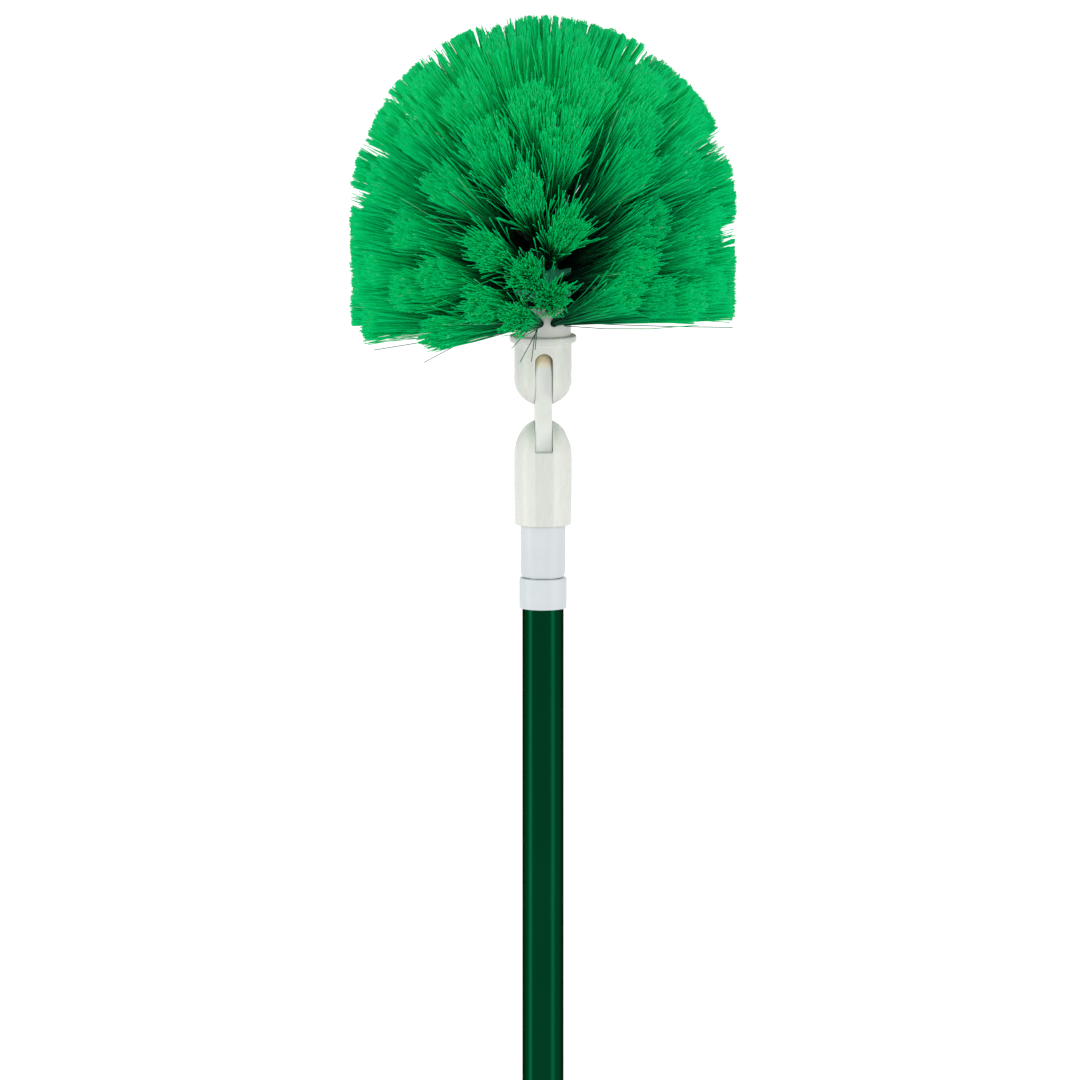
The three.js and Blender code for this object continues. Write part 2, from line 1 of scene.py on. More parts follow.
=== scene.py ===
import bpy
import math
import numpy as np
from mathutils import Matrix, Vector


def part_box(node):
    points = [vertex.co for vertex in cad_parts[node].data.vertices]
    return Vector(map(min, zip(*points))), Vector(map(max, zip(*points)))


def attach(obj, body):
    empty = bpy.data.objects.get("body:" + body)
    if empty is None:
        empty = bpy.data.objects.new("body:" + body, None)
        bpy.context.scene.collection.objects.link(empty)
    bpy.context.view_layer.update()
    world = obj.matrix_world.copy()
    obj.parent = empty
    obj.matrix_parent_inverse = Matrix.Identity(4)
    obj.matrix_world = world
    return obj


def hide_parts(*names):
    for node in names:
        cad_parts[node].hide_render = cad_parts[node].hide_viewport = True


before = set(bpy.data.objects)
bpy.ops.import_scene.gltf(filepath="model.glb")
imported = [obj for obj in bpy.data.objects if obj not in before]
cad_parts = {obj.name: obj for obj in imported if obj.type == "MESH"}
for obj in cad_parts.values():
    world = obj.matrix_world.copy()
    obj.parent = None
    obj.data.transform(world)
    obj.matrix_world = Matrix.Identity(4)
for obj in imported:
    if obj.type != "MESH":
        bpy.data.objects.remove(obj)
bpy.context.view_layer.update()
mm = 0.001
rng = np.random.default_rng(41)


# working helpers

def clearSelection():
    if bpy.context.object and bpy.context.object.mode != "OBJECT":
        bpy.ops.object.mode_set(mode="OBJECT")
    bpy.ops.object.select_all(action="DESELECT")


def pick(piece):
    clearSelection()
    piece.select_set(True)
    bpy.context.view_layer.objects.active = piece


def nameActive(name):
    piece = bpy.context.object
    piece.name = name
    piece.data.name = name
    return piece


def applyPlace():
    bpy.ops.object.transform_apply(location=True, rotation=True, scale=True)


# distances for merging in metres, and the most of a side that a fillet may take
weld = {"outline": 1e-6, "spun": 2e-6, "sliver": 1e-7}
filletShare = 0.49


def filletProfile(corners, steps=5):
    # corners are (radius, height, fillet) in millimetres
    points = []
    count = len(corners)
    for i, (r, z, fillet) in enumerate(corners):
        here = Vector((r, z))
        if fillet <= 0:
            points.append(here)
            continue
        before = Vector(corners[i - 1][:2]) - here
        after = Vector(corners[(i + 1) % count][:2]) - here
        half = before.angle(after) / 2
        setBack = min(fillet / math.tan(half), before.length * filletShare, after.length * filletShare)
        radius = setBack * math.tan(half)
        middle = here + (before.normalized() + after.normalized()).normalized() * (radius / math.sin(half))
        first = here + before.normalized() * setBack - middle
        last = here + after.normalized() * setBack - middle
        for k in range(steps + 1):
            blend = first.lerp(last, k / steps)
            points.append(middle + blend.normalized() * radius)
    return [(p.x, p.y) for p in points]


def drawOutline(name, points):
    # a vertex drawn along points in millimetres, left selected in edit mode
    clearSelection()
    bpy.ops.mesh.primitive_plane_add(size=mm)
    piece = nameActive(name)
    bpy.ops.object.mode_set(mode="EDIT")
    bpy.ops.mesh.select_mode(type="VERT")
    bpy.ops.mesh.select_all(action="SELECT")
    bpy.ops.mesh.merge(type="CENTER")
    bpy.ops.transform.translate(value=(points[0][0] * mm, 0, points[0][1] * mm))
    for last, point in zip(points, points[1:]):
        step = ((point[0] - last[0]) * mm, 0, (point[1] - last[1]) * mm)
        bpy.ops.mesh.extrude_vertices_move(TRANSFORM_OT_translate={"value": step})
    bpy.ops.mesh.select_all(action="SELECT")
    return piece


def faceOutward():
    bpy.ops.mesh.select_all(action="SELECT")
    bpy.ops.mesh.normals_make_consistent(inside=False)
    bpy.ops.object.mode_set(mode="OBJECT")


def spinProfile(name, points, segments=128, closed=True):
    piece = drawOutline(name, points + points[:1] if closed else points)
    bpy.ops.mesh.remove_doubles(threshold=weld["outline"])
    bpy.ops.mesh.spin(steps=segments, angle=2 * math.pi, center=(0, 0, 0), axis=(0, 0, 1))
    bpy.ops.mesh.select_all(action="SELECT")
    bpy.ops.mesh.remove_doubles(threshold=weld["spun"])
    bpy.ops.mesh.dissolve_degenerate(threshold=weld["sliver"])
    faceOutward()
    return piece


def chooseParts(piece, kind, parts, wanted):
    # only the faces or edges that are wanted, left selected in edit mode
    bpy.ops.object.mode_set(mode="EDIT")
    bpy.ops.mesh.select_mode(type=kind)
    bpy.ops.mesh.select_all(action="DESELECT")
    bpy.ops.object.mode_set(mode="OBJECT")
    for part in getattr(piece.data, parts):
        part.select = wanted(part)
    bpy.ops.object.mode_set(mode="EDIT")


def edgeEnds(piece, edge):
    return (piece.data.vertices[i].co for i in edge.vertices)


# an end is inset past its chamfer, which keeps the bevel clean
barEnds = {"inset": 1.5, "facing": 0.9, "rim": 0.98, "bevelSteps": 3}


def breakEnds(bar, radius, chamfer):
    def onRim(edge):
        a, b = edgeEnds(bar, edge)
        outside = min(a.xy.length, b.xy.length) > radius * mm * barEnds["rim"]
        return outside and abs(a.z - b.z) < weld["outline"]

    chooseParts(bar, "FACE", "polygons", lambda face: abs(face.normal.z) > barEnds["facing"])
    bpy.ops.mesh.inset(thickness=chamfer * mm * barEnds["inset"], depth=0)
    chooseParts(bar, "EDGE", "edges", onRim)
    bpy.ops.mesh.bevel(offset=chamfer * mm, segments=barEnds["bevelSteps"], affect="EDGES")
    bpy.ops.object.mode_set(mode="OBJECT")


def roundBar(name, radius, length, place, along, segments=64, chamfer=0.0):
    # a bar in millimetres, centred on place
    clearSelection()
    bpy.ops.mesh.primitive_cylinder_add(vertices=segments, radius=radius * mm, depth=length * mm)
    bar = nameActive(name)
    if chamfer > 0:
        breakEnds(bar, radius, chamfer)
    bar.rotation_euler = {"X": (0, math.pi / 2, 0), "Y": (math.pi / 2, 0, 0)}[along]
    bar.location = Vector(place) * mm
    applyPlace()
    return bar


def brick(name, size, place):
    clearSelection()
    bpy.ops.mesh.primitive_cube_add(size=mm, location=Vector(place) * mm)
    box = nameActive(name)
    box.scale = size
    applyPlace()
    return box


def combine(piece, other, operation, crossing=False):
    pick(piece)
    change = piece.modifiers.new(operation.lower(), "BOOLEAN")
    change.operation = operation
    change.solver = "EXACT"
    change.use_self = crossing
    change.object = other
    bpy.ops.object.modifier_apply(modifier=change.name)
    bpy.data.objects.remove(other)


def softenEdges(piece, voxel, before=5, after=2, factor=0.5):
    # an even skin of small quads laid over the sharp shape, so every edge is a moulded one
    pick(piece)
    bpy.ops.object.duplicate()
    sharp = bpy.context.object
    pick(piece)
    skin = piece.modifiers.new("skin", "REMESH")
    skin.mode = "VOXEL"
    skin.voxel_size = voxel * mm
    first = piece.modifiers.new("ease", "SMOOTH")
    first.factor = factor
    first.iterations = before
    fit = piece.modifiers.new("fit", "SHRINKWRAP")
    fit.target = sharp
    fit.wrap_method = "NEAREST_SURFACEPOINT"
    last = piece.modifiers.new("settle", "SMOOTH")
    last.factor = factor
    last.iterations = after
    for name in [m.name for m in piece.modifiers]:
        bpy.ops.object.modifier_apply(modifier=name)
    bpy.data.objects.remove(sharp)


def finishPiece(piece, material, body, slot, *nodes, angle=35):
    pick(piece)
    piece.data.materials.clear()
    piece.data.materials.append(material)
    bpy.ops.object.shade_smooth_by_angle(angle=math.radians(angle))
    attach(piece, body)
    if nodes:
        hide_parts(*nodes)
    print(piece.name, len(piece.data.polygons), "faces")


# materials

def startMaterial(name):
    material = bpy.data.materials.new(name)
    material.use_nodes = True
    tree = material.node_tree
    return material, tree, tree.nodes["Principled BSDF"]


def objectAxes(tree):
    coords = tree.nodes.new("ShaderNodeTexCoord")
    split = tree.nodes.new("ShaderNodeSeparateXYZ")
    tree.links.new(coords.outputs["Object"], split.inputs["Vector"])
    return split.outputs


def noiseOn(tree, scale, detail=3.0, stretch=(1, 1, 1)):
    coords = tree.nodes.new("ShaderNodeTexCoord")
    mapping = tree.nodes.new("ShaderNodeMapping")
    mapping.inputs["Scale"].default_value = stretch
    noise = tree.nodes.new("ShaderNodeTexNoise")
    noise.inputs["Scale"].default_value = scale
    noise.inputs["Detail"].default_value = detail
    tree.links.new(coords.outputs["Object"], mapping.inputs["Vector"])
    tree.links.new(mapping.outputs["Vector"], noise.inputs["Vector"])
    return noise.outputs["Fac"]


def calculate(tree, operation, *values):
    node = tree.nodes.new("ShaderNodeMath")
    node.operation = operation
    for socket, value in zip(node.inputs, values):
        tree.links.new(value, socket)
    return node.outputs["Value"]


def spread(tree, value, low, high, start=0.3, end=0.7):
    ranged = tree.nodes.new("ShaderNodeMapRange")
    ranged.inputs["From Min"].default_value = start
    ranged.inputs["From Max"].default_value = end
    ranged.inputs["To Min"].default_value = low
    ranged.inputs["To Max"].default_value = high
    tree.links.new(value, ranged.inputs["Value"])
    return ranged.outputs["Result"]


def eased(tree, value, start, end):
    ranged = tree.nodes.new("ShaderNodeMapRange")
    ranged.interpolation_type = "SMOOTHSTEP"
    ranged.inputs["From Min"].default_value = start
    ranged.inputs["From Max"].default_value = end
    tree.links.new(value, ranged.inputs["Value"])
    return ranged.outputs["Result"]


def tint(tree, factor, first, second):
    # colours are linear
    mix = tree.nodes.new("ShaderNodeMix")
    mix.data_type = "RGBA"
    for socket, value in (("A_Color", first), ("B_Color", second)):
        target = next(s for s in mix.inputs if s.identifier == socket)
        if hasattr(value, "is_output"):
            tree.links.new(value, target)
        else:
            target.default_value = (*value, 1)
    tree.links.new(factor, next(s for s in mix.inputs if s.identifier == "Factor_Float"))
    return next(s for s in mix.outputs if s.identifier == "Result_Color")


def clouded(tree, noise, first, second):
    return tint(tree, spread(tree, noiseOn(tree, *noise), 0, 1), first, second)


def roughen(tree, shader, heights):
    # heights are (socket, strength, depth in metres), laid one over another
    normal = None
    for height, strength, depth in heights:
        bump = tree.nodes.new("ShaderNodeBump")
        bump.inputs["Strength"].default_value = strength
        bump.inputs["Distance"].default_value = depth
        tree.links.new(height, bump.inputs["Height"])
        if normal is not None:
            tree.links.new(normal, bump.inputs["Normal"])
        normal = bump.outputs["Normal"]
    tree.links.new(normal, shader.inputs["Normal"])


def letLightIn(shader, weight):
    shader.inputs["Subsurface Weight"].default_value = weight
    shader.inputs["Subsurface Radius"].default_value = (1.0, 0.72, 0.42)
    shader.inputs["Subsurface Scale"].default_value = 0.004


# noises are (scale, detail, stretch), bumps are (strength, depth in metres)
mould = {
    "grain": (1900, 2), "grainBump": (0.10, 0.00004),
    "drag": (420, 4, (1, 1, 0.05)), "dragBump": (0.03, 0.00006),
    "cloud": (55, 3), "scuff": (260, 6, (1, 1, 0.35)), "shinier": 0.05, "duller": 0.08,
    "specular": 0.4, "refraction": 1.49,
}


def mouldGrain(tree, shader):
    grain = noiseOn(tree, *mould["grain"])
    drag = noiseOn(tree, *mould["drag"])
    roughen(tree, shader, [(grain, *mould["grainBump"]), (drag, *mould["dragBump"])])
    return drag


def setLook(tree, shader, colour, rough, specular=0.5, metal=0.0):
    tree.links.new(colour, shader.inputs["Base Color"])
    tree.links.new(rough, shader.inputs["Roughness"])
    shader.inputs["Specular IOR Level"].default_value = specular
    shader.inputs["Metallic"].default_value = metal


def setPlastic(tree, shader, colour, gloss, glowing):
    letLightIn(shader, glowing)
    mouldGrain(tree, shader)
    scuff = noiseOn(tree, *mould["scuff"])
    rough = spread(tree, scuff, gloss - mould["shinier"], gloss + mould["duller"])
    setLook(tree, shader, colour, rough, mould["specular"])
    shader.inputs["IOR"].default_value = mould["refraction"]


def mouldedPlastic(name, colour, shadeColour, gloss, glowing=0.0):
    material, tree, shader = startMaterial(name)
    setPlastic(tree, shader, clouded(tree, mould["cloud"], colour, shadeColour), gloss, glowing)
    return material


# metres out from the axis, and up for nearSlot
forkBands = {"flat": (0.0052, 0.0044), "beside": (0.0100, 0.0055), "slot": (0.0048, 0.0052),
             "nearSlot": (0.772, 0.785)}


def forkPlastic(name, colour, darker, shaded, gloss, glowing):
    # the flat below the slot is painted darker, as painted shade where the side lamps light it less, and the
    # ears are painted darker beside the slot, as painted shade under the brush
    material, tree, shader = startMaterial(name)
    axes = objectAxes(tree)
    out = calculate(tree, "ABSOLUTE", axes["X"])
    flat = eased(tree, out, *forkBands["flat"])
    ear = calculate(tree, "MULTIPLY", eased(tree, out, *forkBands["beside"]),
                    eased(tree, out, *forkBands["slot"]))
    nearSlot = calculate(tree, "MULTIPLY", ear, eased(tree, axes["Z"], *forkBands["nearSlot"]))
    body = tint(tree, flat, colour, darker)
    setPlastic(tree, shader, tint(tree, nearSlot, body, shaded), gloss, glowing)
    return material


# the first three are heights in metres: where the head takes a painted warm bounce light, and where the link
# fades to painted light inside the lower and the upper fork
linkLook = {"warmBounce": (0.8195, 0.8235), "inLower": (0.794, 0.782), "inUpper": (0.801, 0.810),
            "cloud": (60, 3), "dust": 0.985, "glowing": 0.4, "rough": (0.26, 0.36)}


def linkPlastic(name, colour, litEndColour, warm):
    # the link is painted paler inside the forks, as painted light against the shade of the slots, and its
    # head is painted with a warm bounce light from the slot's roof
    material, tree, shader = startMaterial(name)
    letLightIn(shader, linkLook["glowing"])
    height = objectAxes(tree)["Z"]
    warmBounce = spread(tree, height, 0, 1, *linkLook["warmBounce"])
    dusty = tuple(linkLook["dust"] * c for c in colour)
    beforeBounce = clouded(tree, linkLook["cloud"], colour, dusty)
    for band in ("inLower", "inUpper"):
        beforeBounce = tint(tree, eased(tree, height, *linkLook[band]), beforeBounce, litEndColour)
    rough = spread(tree, mouldGrain(tree, shader), *linkLook["rough"])
    setLook(tree, shader, tint(tree, warmBounce, beforeBounce, warm), rough, mould["specular"])
    return material


# green and dark are heights in metres, where the block fades to a painted green bounce light and then to
# painted shade
blockLook = {"green": (0.843, 0.862), "dark": (0.863, 0.884), "rough": (0.3, 0.42), "specular": 0.1}


def blockPlastic(name, colour, middle, shade):
    # the block is painted green and then dark between the tufts: painted green bounce light, then painted
    # shade
    material, tree, shader = startMaterial(name)
    height = objectAxes(tree)["Z"]
    foot = tint(tree, eased(tree, height, *blockLook["green"]), colour, middle)
    deep = tint(tree, eased(tree, height, *blockLook["dark"]), foot, shade)
    rough = spread(tree, mouldGrain(tree, shader), *blockLook["rough"])
    setLook(tree, shader, deep, rough, blockLook["specular"])
    return material


enamelLook = {
    "streak": (900, 3, (1, 1, 0.012)), "streakBump": (0.04, 0.00002), "cloud": (30, 3, (1, 1, 0.4)),
    "peel": (700, 2, (1, 1, 0.5)), "peelBump": (0.05, 0.00003), "rough": (0.15, 0.22),
    "edge": (0.40, 0.33, 0.38),
}


def enamelMaterial(name, colour, deepColour):
    material, tree, shader = startMaterial(name)
    streak = noiseOn(tree, *enamelLook["streak"])
    peel = noiseOn(tree, *enamelLook["peel"])
    rough = spread(tree, streak, *enamelLook["rough"])
    setLook(tree, shader, clouded(tree, enamelLook["cloud"], colour, deepColour), rough, metal=1.0)
    shader.inputs["Specular Tint"].default_value = (*enamelLook["edge"], 1)
    roughen(tree, shader, [(peel, *enamelLook["peelBump"]), (streak, *enamelLook["streakBump"])])
    return material


steelLook = {"lineScale": 1400, "lineDetail": 3, "lineBump": (0.15, 0.00003), "cloud": (40, 3), "darker": 0.86,
             "shinier": 0.06, "duller": 0.1}


def steelMaterial(name, colour, rough, stretch):
    material, tree, shader = startMaterial(name)
    line = noiseOn(tree, steelLook["lineScale"], steelLook["lineDetail"], stretch)
    darker = tuple(c * steelLook["darker"] for c in colour)
    wear = spread(tree, line, rough - steelLook["shinier"], rough + steelLook["duller"])
    setLook(tree, shader, clouded(tree, steelLook["cloud"], colour, darker), wear, metal=1.0)
    roughen(tree, shader, [(line, *steelLook["lineBump"])])
    return material


# the ranges are shares of the filament's length or of its own random tone, and crownFrom is in metres
bristleLook = {
    "green": (0.0, 0.77, 0.226), "deep": (0.0, 0.745, 0.230), "greenFrom": (0, 0.97),
    "crown": (0.01, 0.95, 0.285), "crownFrom": (0.93, 0.985),
    "pale": (0.35, 0.75, 0.45), "paleFrom": (0.992, 0.994), "paleMix": 0.6,
    "end": (0.0, 0.70, 0.206), "endFrom": (0.80, 1.0), "endMix": 0.5,
    "root": (0.006, 0.05, 0.031), "darkTo": 0.32, "lightFrom": 0.90, "streak": 0.14,
    "tip": (0.10, 0.78, 0.32), "tipFrom": (0.975, 0.98), "tipTones": (0.93, 0.94), "tipMix": 0.6,
    "ridge": (900, 2), "rough": (0.5, 0.65), "specular": 0.03,
}


def bristleMaterial(name, look):
    material, tree, shader = startMaterial(name)
    values = []
    for label in ("filamentTone", "alongFilament"):
        attribute = tree.nodes.new("ShaderNodeAttribute")
        attribute.attribute_name = label
        values.append(attribute.outputs["Fac"])
    tone, along = values
    colour = tint(tree, spread(tree, tone, 0, 1, *look["greenFrom"]), look["deep"], look["green"])
    height = objectAxes(tree)["Z"]
    # painted light: the crown is painted brighter towards the top of the brush
    colour = tint(tree, eased(tree, height, *look["crownFrom"]), colour, look["crown"])
    # painted highlight: a few filaments are painted pale as glints
    colour = tint(tree, spread(tree, tone, 0, look["paleMix"], *look["paleFrom"]), colour, look["pale"])
    # painted shade: the outer end of each filament is painted a little darker, against the light its tip
    # catches
    colour = tint(tree, spread(tree, along, 0, look["endMix"], *look["endFrom"]), colour, look["end"])
    # painted shade: each filament is painted dark towards its root, where the tufts shade one another
    streak = spread(tree, tone, -look["streak"], look["streak"], 0, 1)
    ahead = calculate(tree, "ADD", along, streak)
    colour = tint(tree, eased(tree, ahead, look["darkTo"], look["lightFrom"]), look["root"], colour)
    # painted highlight: the cut tips of some filaments are painted pale as glints
    cut = spread(tree, along, 0, 1, *look["tipFrom"])
    bright = spread(tree, tone, 0, look["tipMix"], *look["tipTones"])
    colour = tint(tree, calculate(tree, "MULTIPLY", cut, bright), colour, look["tip"])
    rough = spread(tree, noiseOn(tree, *look["ridge"]), *look["rough"])
    setLook(tree, shader, colour, rough, look["specular"])
    return material


finish = {
    "cream": (0.81, 0.826, 0.776),
    "creamShade": (0.80, 0.818, 0.766),
    # the next two are painted shade for the lower fork: its flat below the slot, and its ears beside the slot
    "forkFlatShade": (0.745, 0.765, 0.715),
    "forkShade": (0.66, 0.70, 0.64),
    "white": (0.725, 0.77, 0.785),
    "whiteShade": (0.705, 0.75, 0.77),
    # painted warm bounce light for the link's head inside the upper slot
    "warm": (0.98, 0.84, 0.60),
    "link": (0.825, 0.84, 0.795),
    # painted light for the link inside the forks, against the shade there
    "linkLitEnd": (0.91, 0.925, 0.88),
    # painted green bounce light, then painted shade, for the block between the tufts
    "blockGreenBounce": (0.06, 0.62, 0.34),
    "blockShade": (0.004, 0.03, 0.018),
    "dark": (0.026, 0.028, 0.029),
    "darkShade": (0.02, 0.022, 0.023),
    "enamel": (0.0005, 0.041, 0.0145),
    "enamelDeep": (0.0004, 0.037, 0.0130),
    "drawn": (0.43, 0.45, 0.46),
    "turned": (0.60, 0.61, 0.62),
}
creamPlastic = mouldedPlastic("creamPlastic", finish["cream"], finish["creamShade"], gloss=0.26, glowing=0.3)
bandedPlastic = forkPlastic("bandedPlastic", finish["cream"], finish["forkFlatShade"], finish["forkShade"],
                            gloss=0.26, glowing=0.3)
whitePlastic = mouldedPlastic("whitePlastic", finish["white"], finish["whiteShade"], gloss=0.34, glowing=0.15)
hingePlastic = linkPlastic("hingePlastic", finish["link"], finish["linkLitEnd"], finish["warm"])
shadedPlastic = blockPlastic("shadedPlastic", finish["cream"], finish["blockGreenBounce"], finish["blockShade"])
darkPlastic = mouldedPlastic("darkPlastic", finish["dark"], finish["darkShade"], gloss=0.5)
greenEnamel = enamelMaterial("greenEnamel", finish["enamel"], finish["enamelDeep"])
drawnSteel = steelMaterial("drawnSteel", finish["drawn"], rough=0.3, stretch=(1, 1, 0.01))
turnedSteel = steelMaterial("turnedSteel", finish["turned"], rough=0.28, stretch=(0.05, 1, 1))
bristleGreen = bristleMaterial("bristleGreen", bristleLook)
print("materials ready")

# pole

def spinTube(name, shape):
    outline = filletProfile([
        (shape["bore"], shape["foot"], shape["boreEdge"]), (shape["radius"], shape["foot"], shape["edge"]),
        (shape["radius"], shape["top"], shape["edge"]), (shape["bore"], shape["top"], shape["boreEdge"]),
    ], steps=3)
    return spinProfile(name, outline)


tube = {"radius": 11.1, "bore": 10.5, "foot": 30.0, "top": 704.0, "edge": 0.25, "boreEdge": 0.15}
inner = {"radius": 9.3, "bore": 8.6, "foot": 73.0, "top": 731.0, "edge": 0.2, "boreEdge": 0.15}
collar = {"top": 706.4, "foot": 690.0, "radius": 12.7, "bore": 11.3, "bushTop": 704.0, "bushFoot": 664.0,
          "bushRadius": 10.3, "bushBore": 9.6, "footEdge": 0.5, "topEdge": 0.7, "mouthEdge": 0.4,
          "fineEdge": 0.2}


def makeCollar():
    fine = collar["fineEdge"]
    outline = filletProfile([
        (collar["bore"], collar["foot"], fine), (collar["radius"], collar["foot"], collar["footEdge"]),
        (collar["radius"], collar["top"], collar["topEdge"]),
        (collar["bushBore"], collar["top"], collar["mouthEdge"]),
        (collar["bushBore"], collar["bushFoot"], fine), (collar["bushRadius"], collar["bushFoot"], fine),
        (collar["bushRadius"], collar["bushTop"], 0), (collar["bore"], collar["bushTop"], 0)])
    piece = spinProfile("guideRing", outline)
    finishPiece(piece, whitePlastic, "outer_pole", "white_plastic", "guide_collar")


cap = {"radius": 12.0, "height": 30.0, "rounding": 3.0, "plugRadius": 10.3, "plugBore": 8.3, "plugTop": 52.0,
       "lead": 1.0, "holeRadius": 4.5, "holeHeight": 13.0, "shoulderEdge": 0.6, "mouthEdge": 0.3,
       "floorEdge": 0.5, "voxel": 0.5}


def makeEndCap():
    outline = filletProfile([
        (0, 0, 0), (cap["radius"], 0, cap["rounding"]), (cap["radius"], cap["height"], cap["shoulderEdge"]),
        (cap["plugRadius"], cap["height"], 0), (cap["plugRadius"], cap["plugTop"], cap["lead"]),
        (cap["plugBore"], cap["plugTop"], cap["mouthEdge"]),
        (cap["plugBore"], cap["height"], cap["floorEdge"]), (0, cap["height"], 0)], steps=8)
    piece = spinProfile("endCapBody", outline, closed=False)
    hole = roundBar("holeCutter", cap["holeRadius"], cap["radius"] * 3, (0, 0, cap["holeHeight"]), "Y")
    combine(piece, hole, "DIFFERENCE")
    softenEdges(piece, cap["voxel"])
    finishPiece(piece, whitePlastic, "outer_pole", "white_plastic", "end_cap", angle=60)


sleeve = {"foot": 706.9, "footInset": 0.8, "footHeight": 2.5, "radius": 12.05, "bore": 9.5, "boreTop": 731.0,
          "shoulder": 738.0, "studRadius": 7.9, "studTop": 763.0, "boreEdge": 0.3, "mouthEdge": 0.2,
          "footEdge": 0.5, "edge": 0.6, "studRoot": 0.4}
thread = {"radius": 9.5, "pitch": 5.0, "turns": 4, "foot": 740.4, "sink": 0.5, "rootHalf": 1.2,
          "crestHalf": 0.75, "steps": 48}


def makeSleeve():
    outline = filletProfile([
        (0, sleeve["boreTop"], 0), (sleeve["bore"], sleeve["boreTop"], sleeve["boreEdge"]),
        (sleeve["bore"], sleeve["foot"], sleeve["mouthEdge"]),
        (sleeve["radius"] - sleeve["footInset"], sleeve["foot"], sleeve["footEdge"]),
        (sleeve["radius"], sleeve["foot"] + sleeve["footHeight"], 0),
        (sleeve["radius"], sleeve["shoulder"], sleeve["edge"]),
        (sleeve["studRadius"], sleeve["shoulder"], sleeve["studRoot"]),
        (sleeve["studRadius"], sleeve["studTop"], sleeve["edge"]), (0, sleeve["studTop"], 0)])
    piece = spinProfile("poleSleeve", outline, closed=False)
    ridge = windThread("studThread")
    pick(piece)
    ridge.select_set(True)
    bpy.ops.object.join()
    finishPiece(piece, whitePlastic, "inner_pole", "white_plastic", "pole_tip")


def windThread(name):
    # a closed ridge section wound up the stud by a screw modifier
    root, crest = sleeve["studRadius"] - thread["sink"], thread["radius"]
    ridge = drawOutline(name, [(root, -thread["rootHalf"]), (crest, -thread["crestHalf"]),
                               (crest, thread["crestHalf"]), (root, thread["rootHalf"])])
    bpy.ops.mesh.edge_face_add()
    bpy.ops.transform.translate(value=(0, 0, thread["foot"] * mm))
    bpy.ops.object.mode_set(mode="OBJECT")
    wind = ridge.modifiers.new("wind", "SCREW")
    wind.axis = "Z"
    wind.screw_offset = thread["pitch"] * mm
    wind.iterations = thread["turns"]
    wind.steps = thread["steps"]
    wind.render_steps = thread["steps"]
    wind.use_merge_vertices = False
    bpy.ops.object.modifier_apply(modifier=wind.name)
    bpy.ops.object.mode_set(mode="EDIT")
    bpy.ops.mesh.select_all(action="SELECT")
    bpy.ops.mesh.remove_doubles(threshold=weld["outline"])
    bpy.ops.mesh.fill_holes(sides=0)
    faceOutward()
    return ridge


finishPiece(spinTube("greenTube", tube), greenEnamel, "outer_pole", "green_tube", "outer_tube")
makeCollar()
makeEndCap()
finishPiece(spinTube("slidingTube", inner), drawnSteel, "inner_pole", "bare_tube", "inner_tube")
makeSleeve()
print("pole ready")

# hinge

fork = {"radius": 15.5, "earTip": 5.0, "slot": 9.6, "slotDepth": 12.5, "pinHole": 2.7, "voxel": 0.4,
        "smoothing": 6}
# cutters reach well past what they cut
cutter = {"wide": 40.0, "tall": 60.0, "deep": 10.0}


def noseCorners(foot, height, fullness, growth, steps=22):
    share = 1 - (fork["earTip"] / fork["radius"]) ** fullness
    corners = []
    for k in range(steps + 1):
        distance = height * math.sin(math.pi / 2 * k / steps)
        radius = fork["radius"] * (1 - share * (distance / height) ** fullness) ** (1 / fullness)
        corners.append((radius, foot + growth * distance))
    return corners


def cutSlot(piece, middle):
    slot = brick("slotCutter", (fork["slot"], cutter["wide"], cutter["tall"]), (0, 0, middle))
    combine(piece, slot, "DIFFERENCE")


def drillPin(piece, radius, height):
    combine(piece, roundBar("pinCutter", radius, cutter["wide"], (0, 0, height), "X"), "DIFFERENCE")


def finishFork(piece, material, body, node):
    softenEdges(piece, fork["voxel"], before=fork["smoothing"], after=fork["smoothing"])
    finishPiece(piece, material, body, "cream_plastic", node, angle=60)


lower = {"foot": 735.0, "pivot": 782.0, "footInset": 0.4, "footHeight": 20.0, "footEdge": 0.7,
         "noseDrop": 11.2, "noseHeight": 20.2, "fullness": 2.15, "grooveDepth": 1.1, "grooveOverlap": 2.0,
         "sillDrop": 7.0, "mouthRadius": 12.25, "mouthTop": 738.2, "mouthEdge": 0.3,
         "threadRadius": 9.8, "boreTop": 764.0}


def makeLowerFork():
    nose = noseCorners(lower["pivot"] - lower["noseDrop"], lower["noseHeight"], lower["fullness"], 1)
    foot = filletProfile([(lower["mouthRadius"], lower["foot"], lower["mouthEdge"]),
                          (fork["radius"] - lower["footInset"], lower["foot"], lower["footEdge"]),
                          (fork["radius"], lower["foot"] + lower["footHeight"], 0)])
    socket = [(0, nose[-1][1]), (0, lower["boreTop"]), (lower["threadRadius"], lower["boreTop"]),
              (lower["threadRadius"], lower["mouthTop"]), (lower["mouthRadius"], lower["mouthTop"])]
    piece = spinProfile("lowerForkBody", foot + nose + socket, segments=160)
    sill = lower["pivot"] - lower["sillDrop"]
    cutSlot(piece, sill + cutter["tall"] / 2)
    pivot = (0, 0, lower["pivot"])
    pocket = roundBar("pocketCutter", fork["slotDepth"], fork["slot"], pivot, "X", segments=96)
    combine(piece, pocket, "DIFFERENCE")
    drillPin(piece, fork["pinHole"], lower["pivot"])
    for side in (-1, 1):
        middle = side * (fork["radius"] - lower["grooveDepth"] + cutter["deep"] / 2)
        height = sill + lower["grooveOverlap"] - cutter["tall"] / 2
        groove = brick("grooveCutter", (fork["slot"], cutter["deep"], cutter["tall"]), (0, middle, height))
        combine(piece, groove, "DIFFERENCE")
    finishFork(piece, bandedPlastic, "inner_pole", "lower_fork")


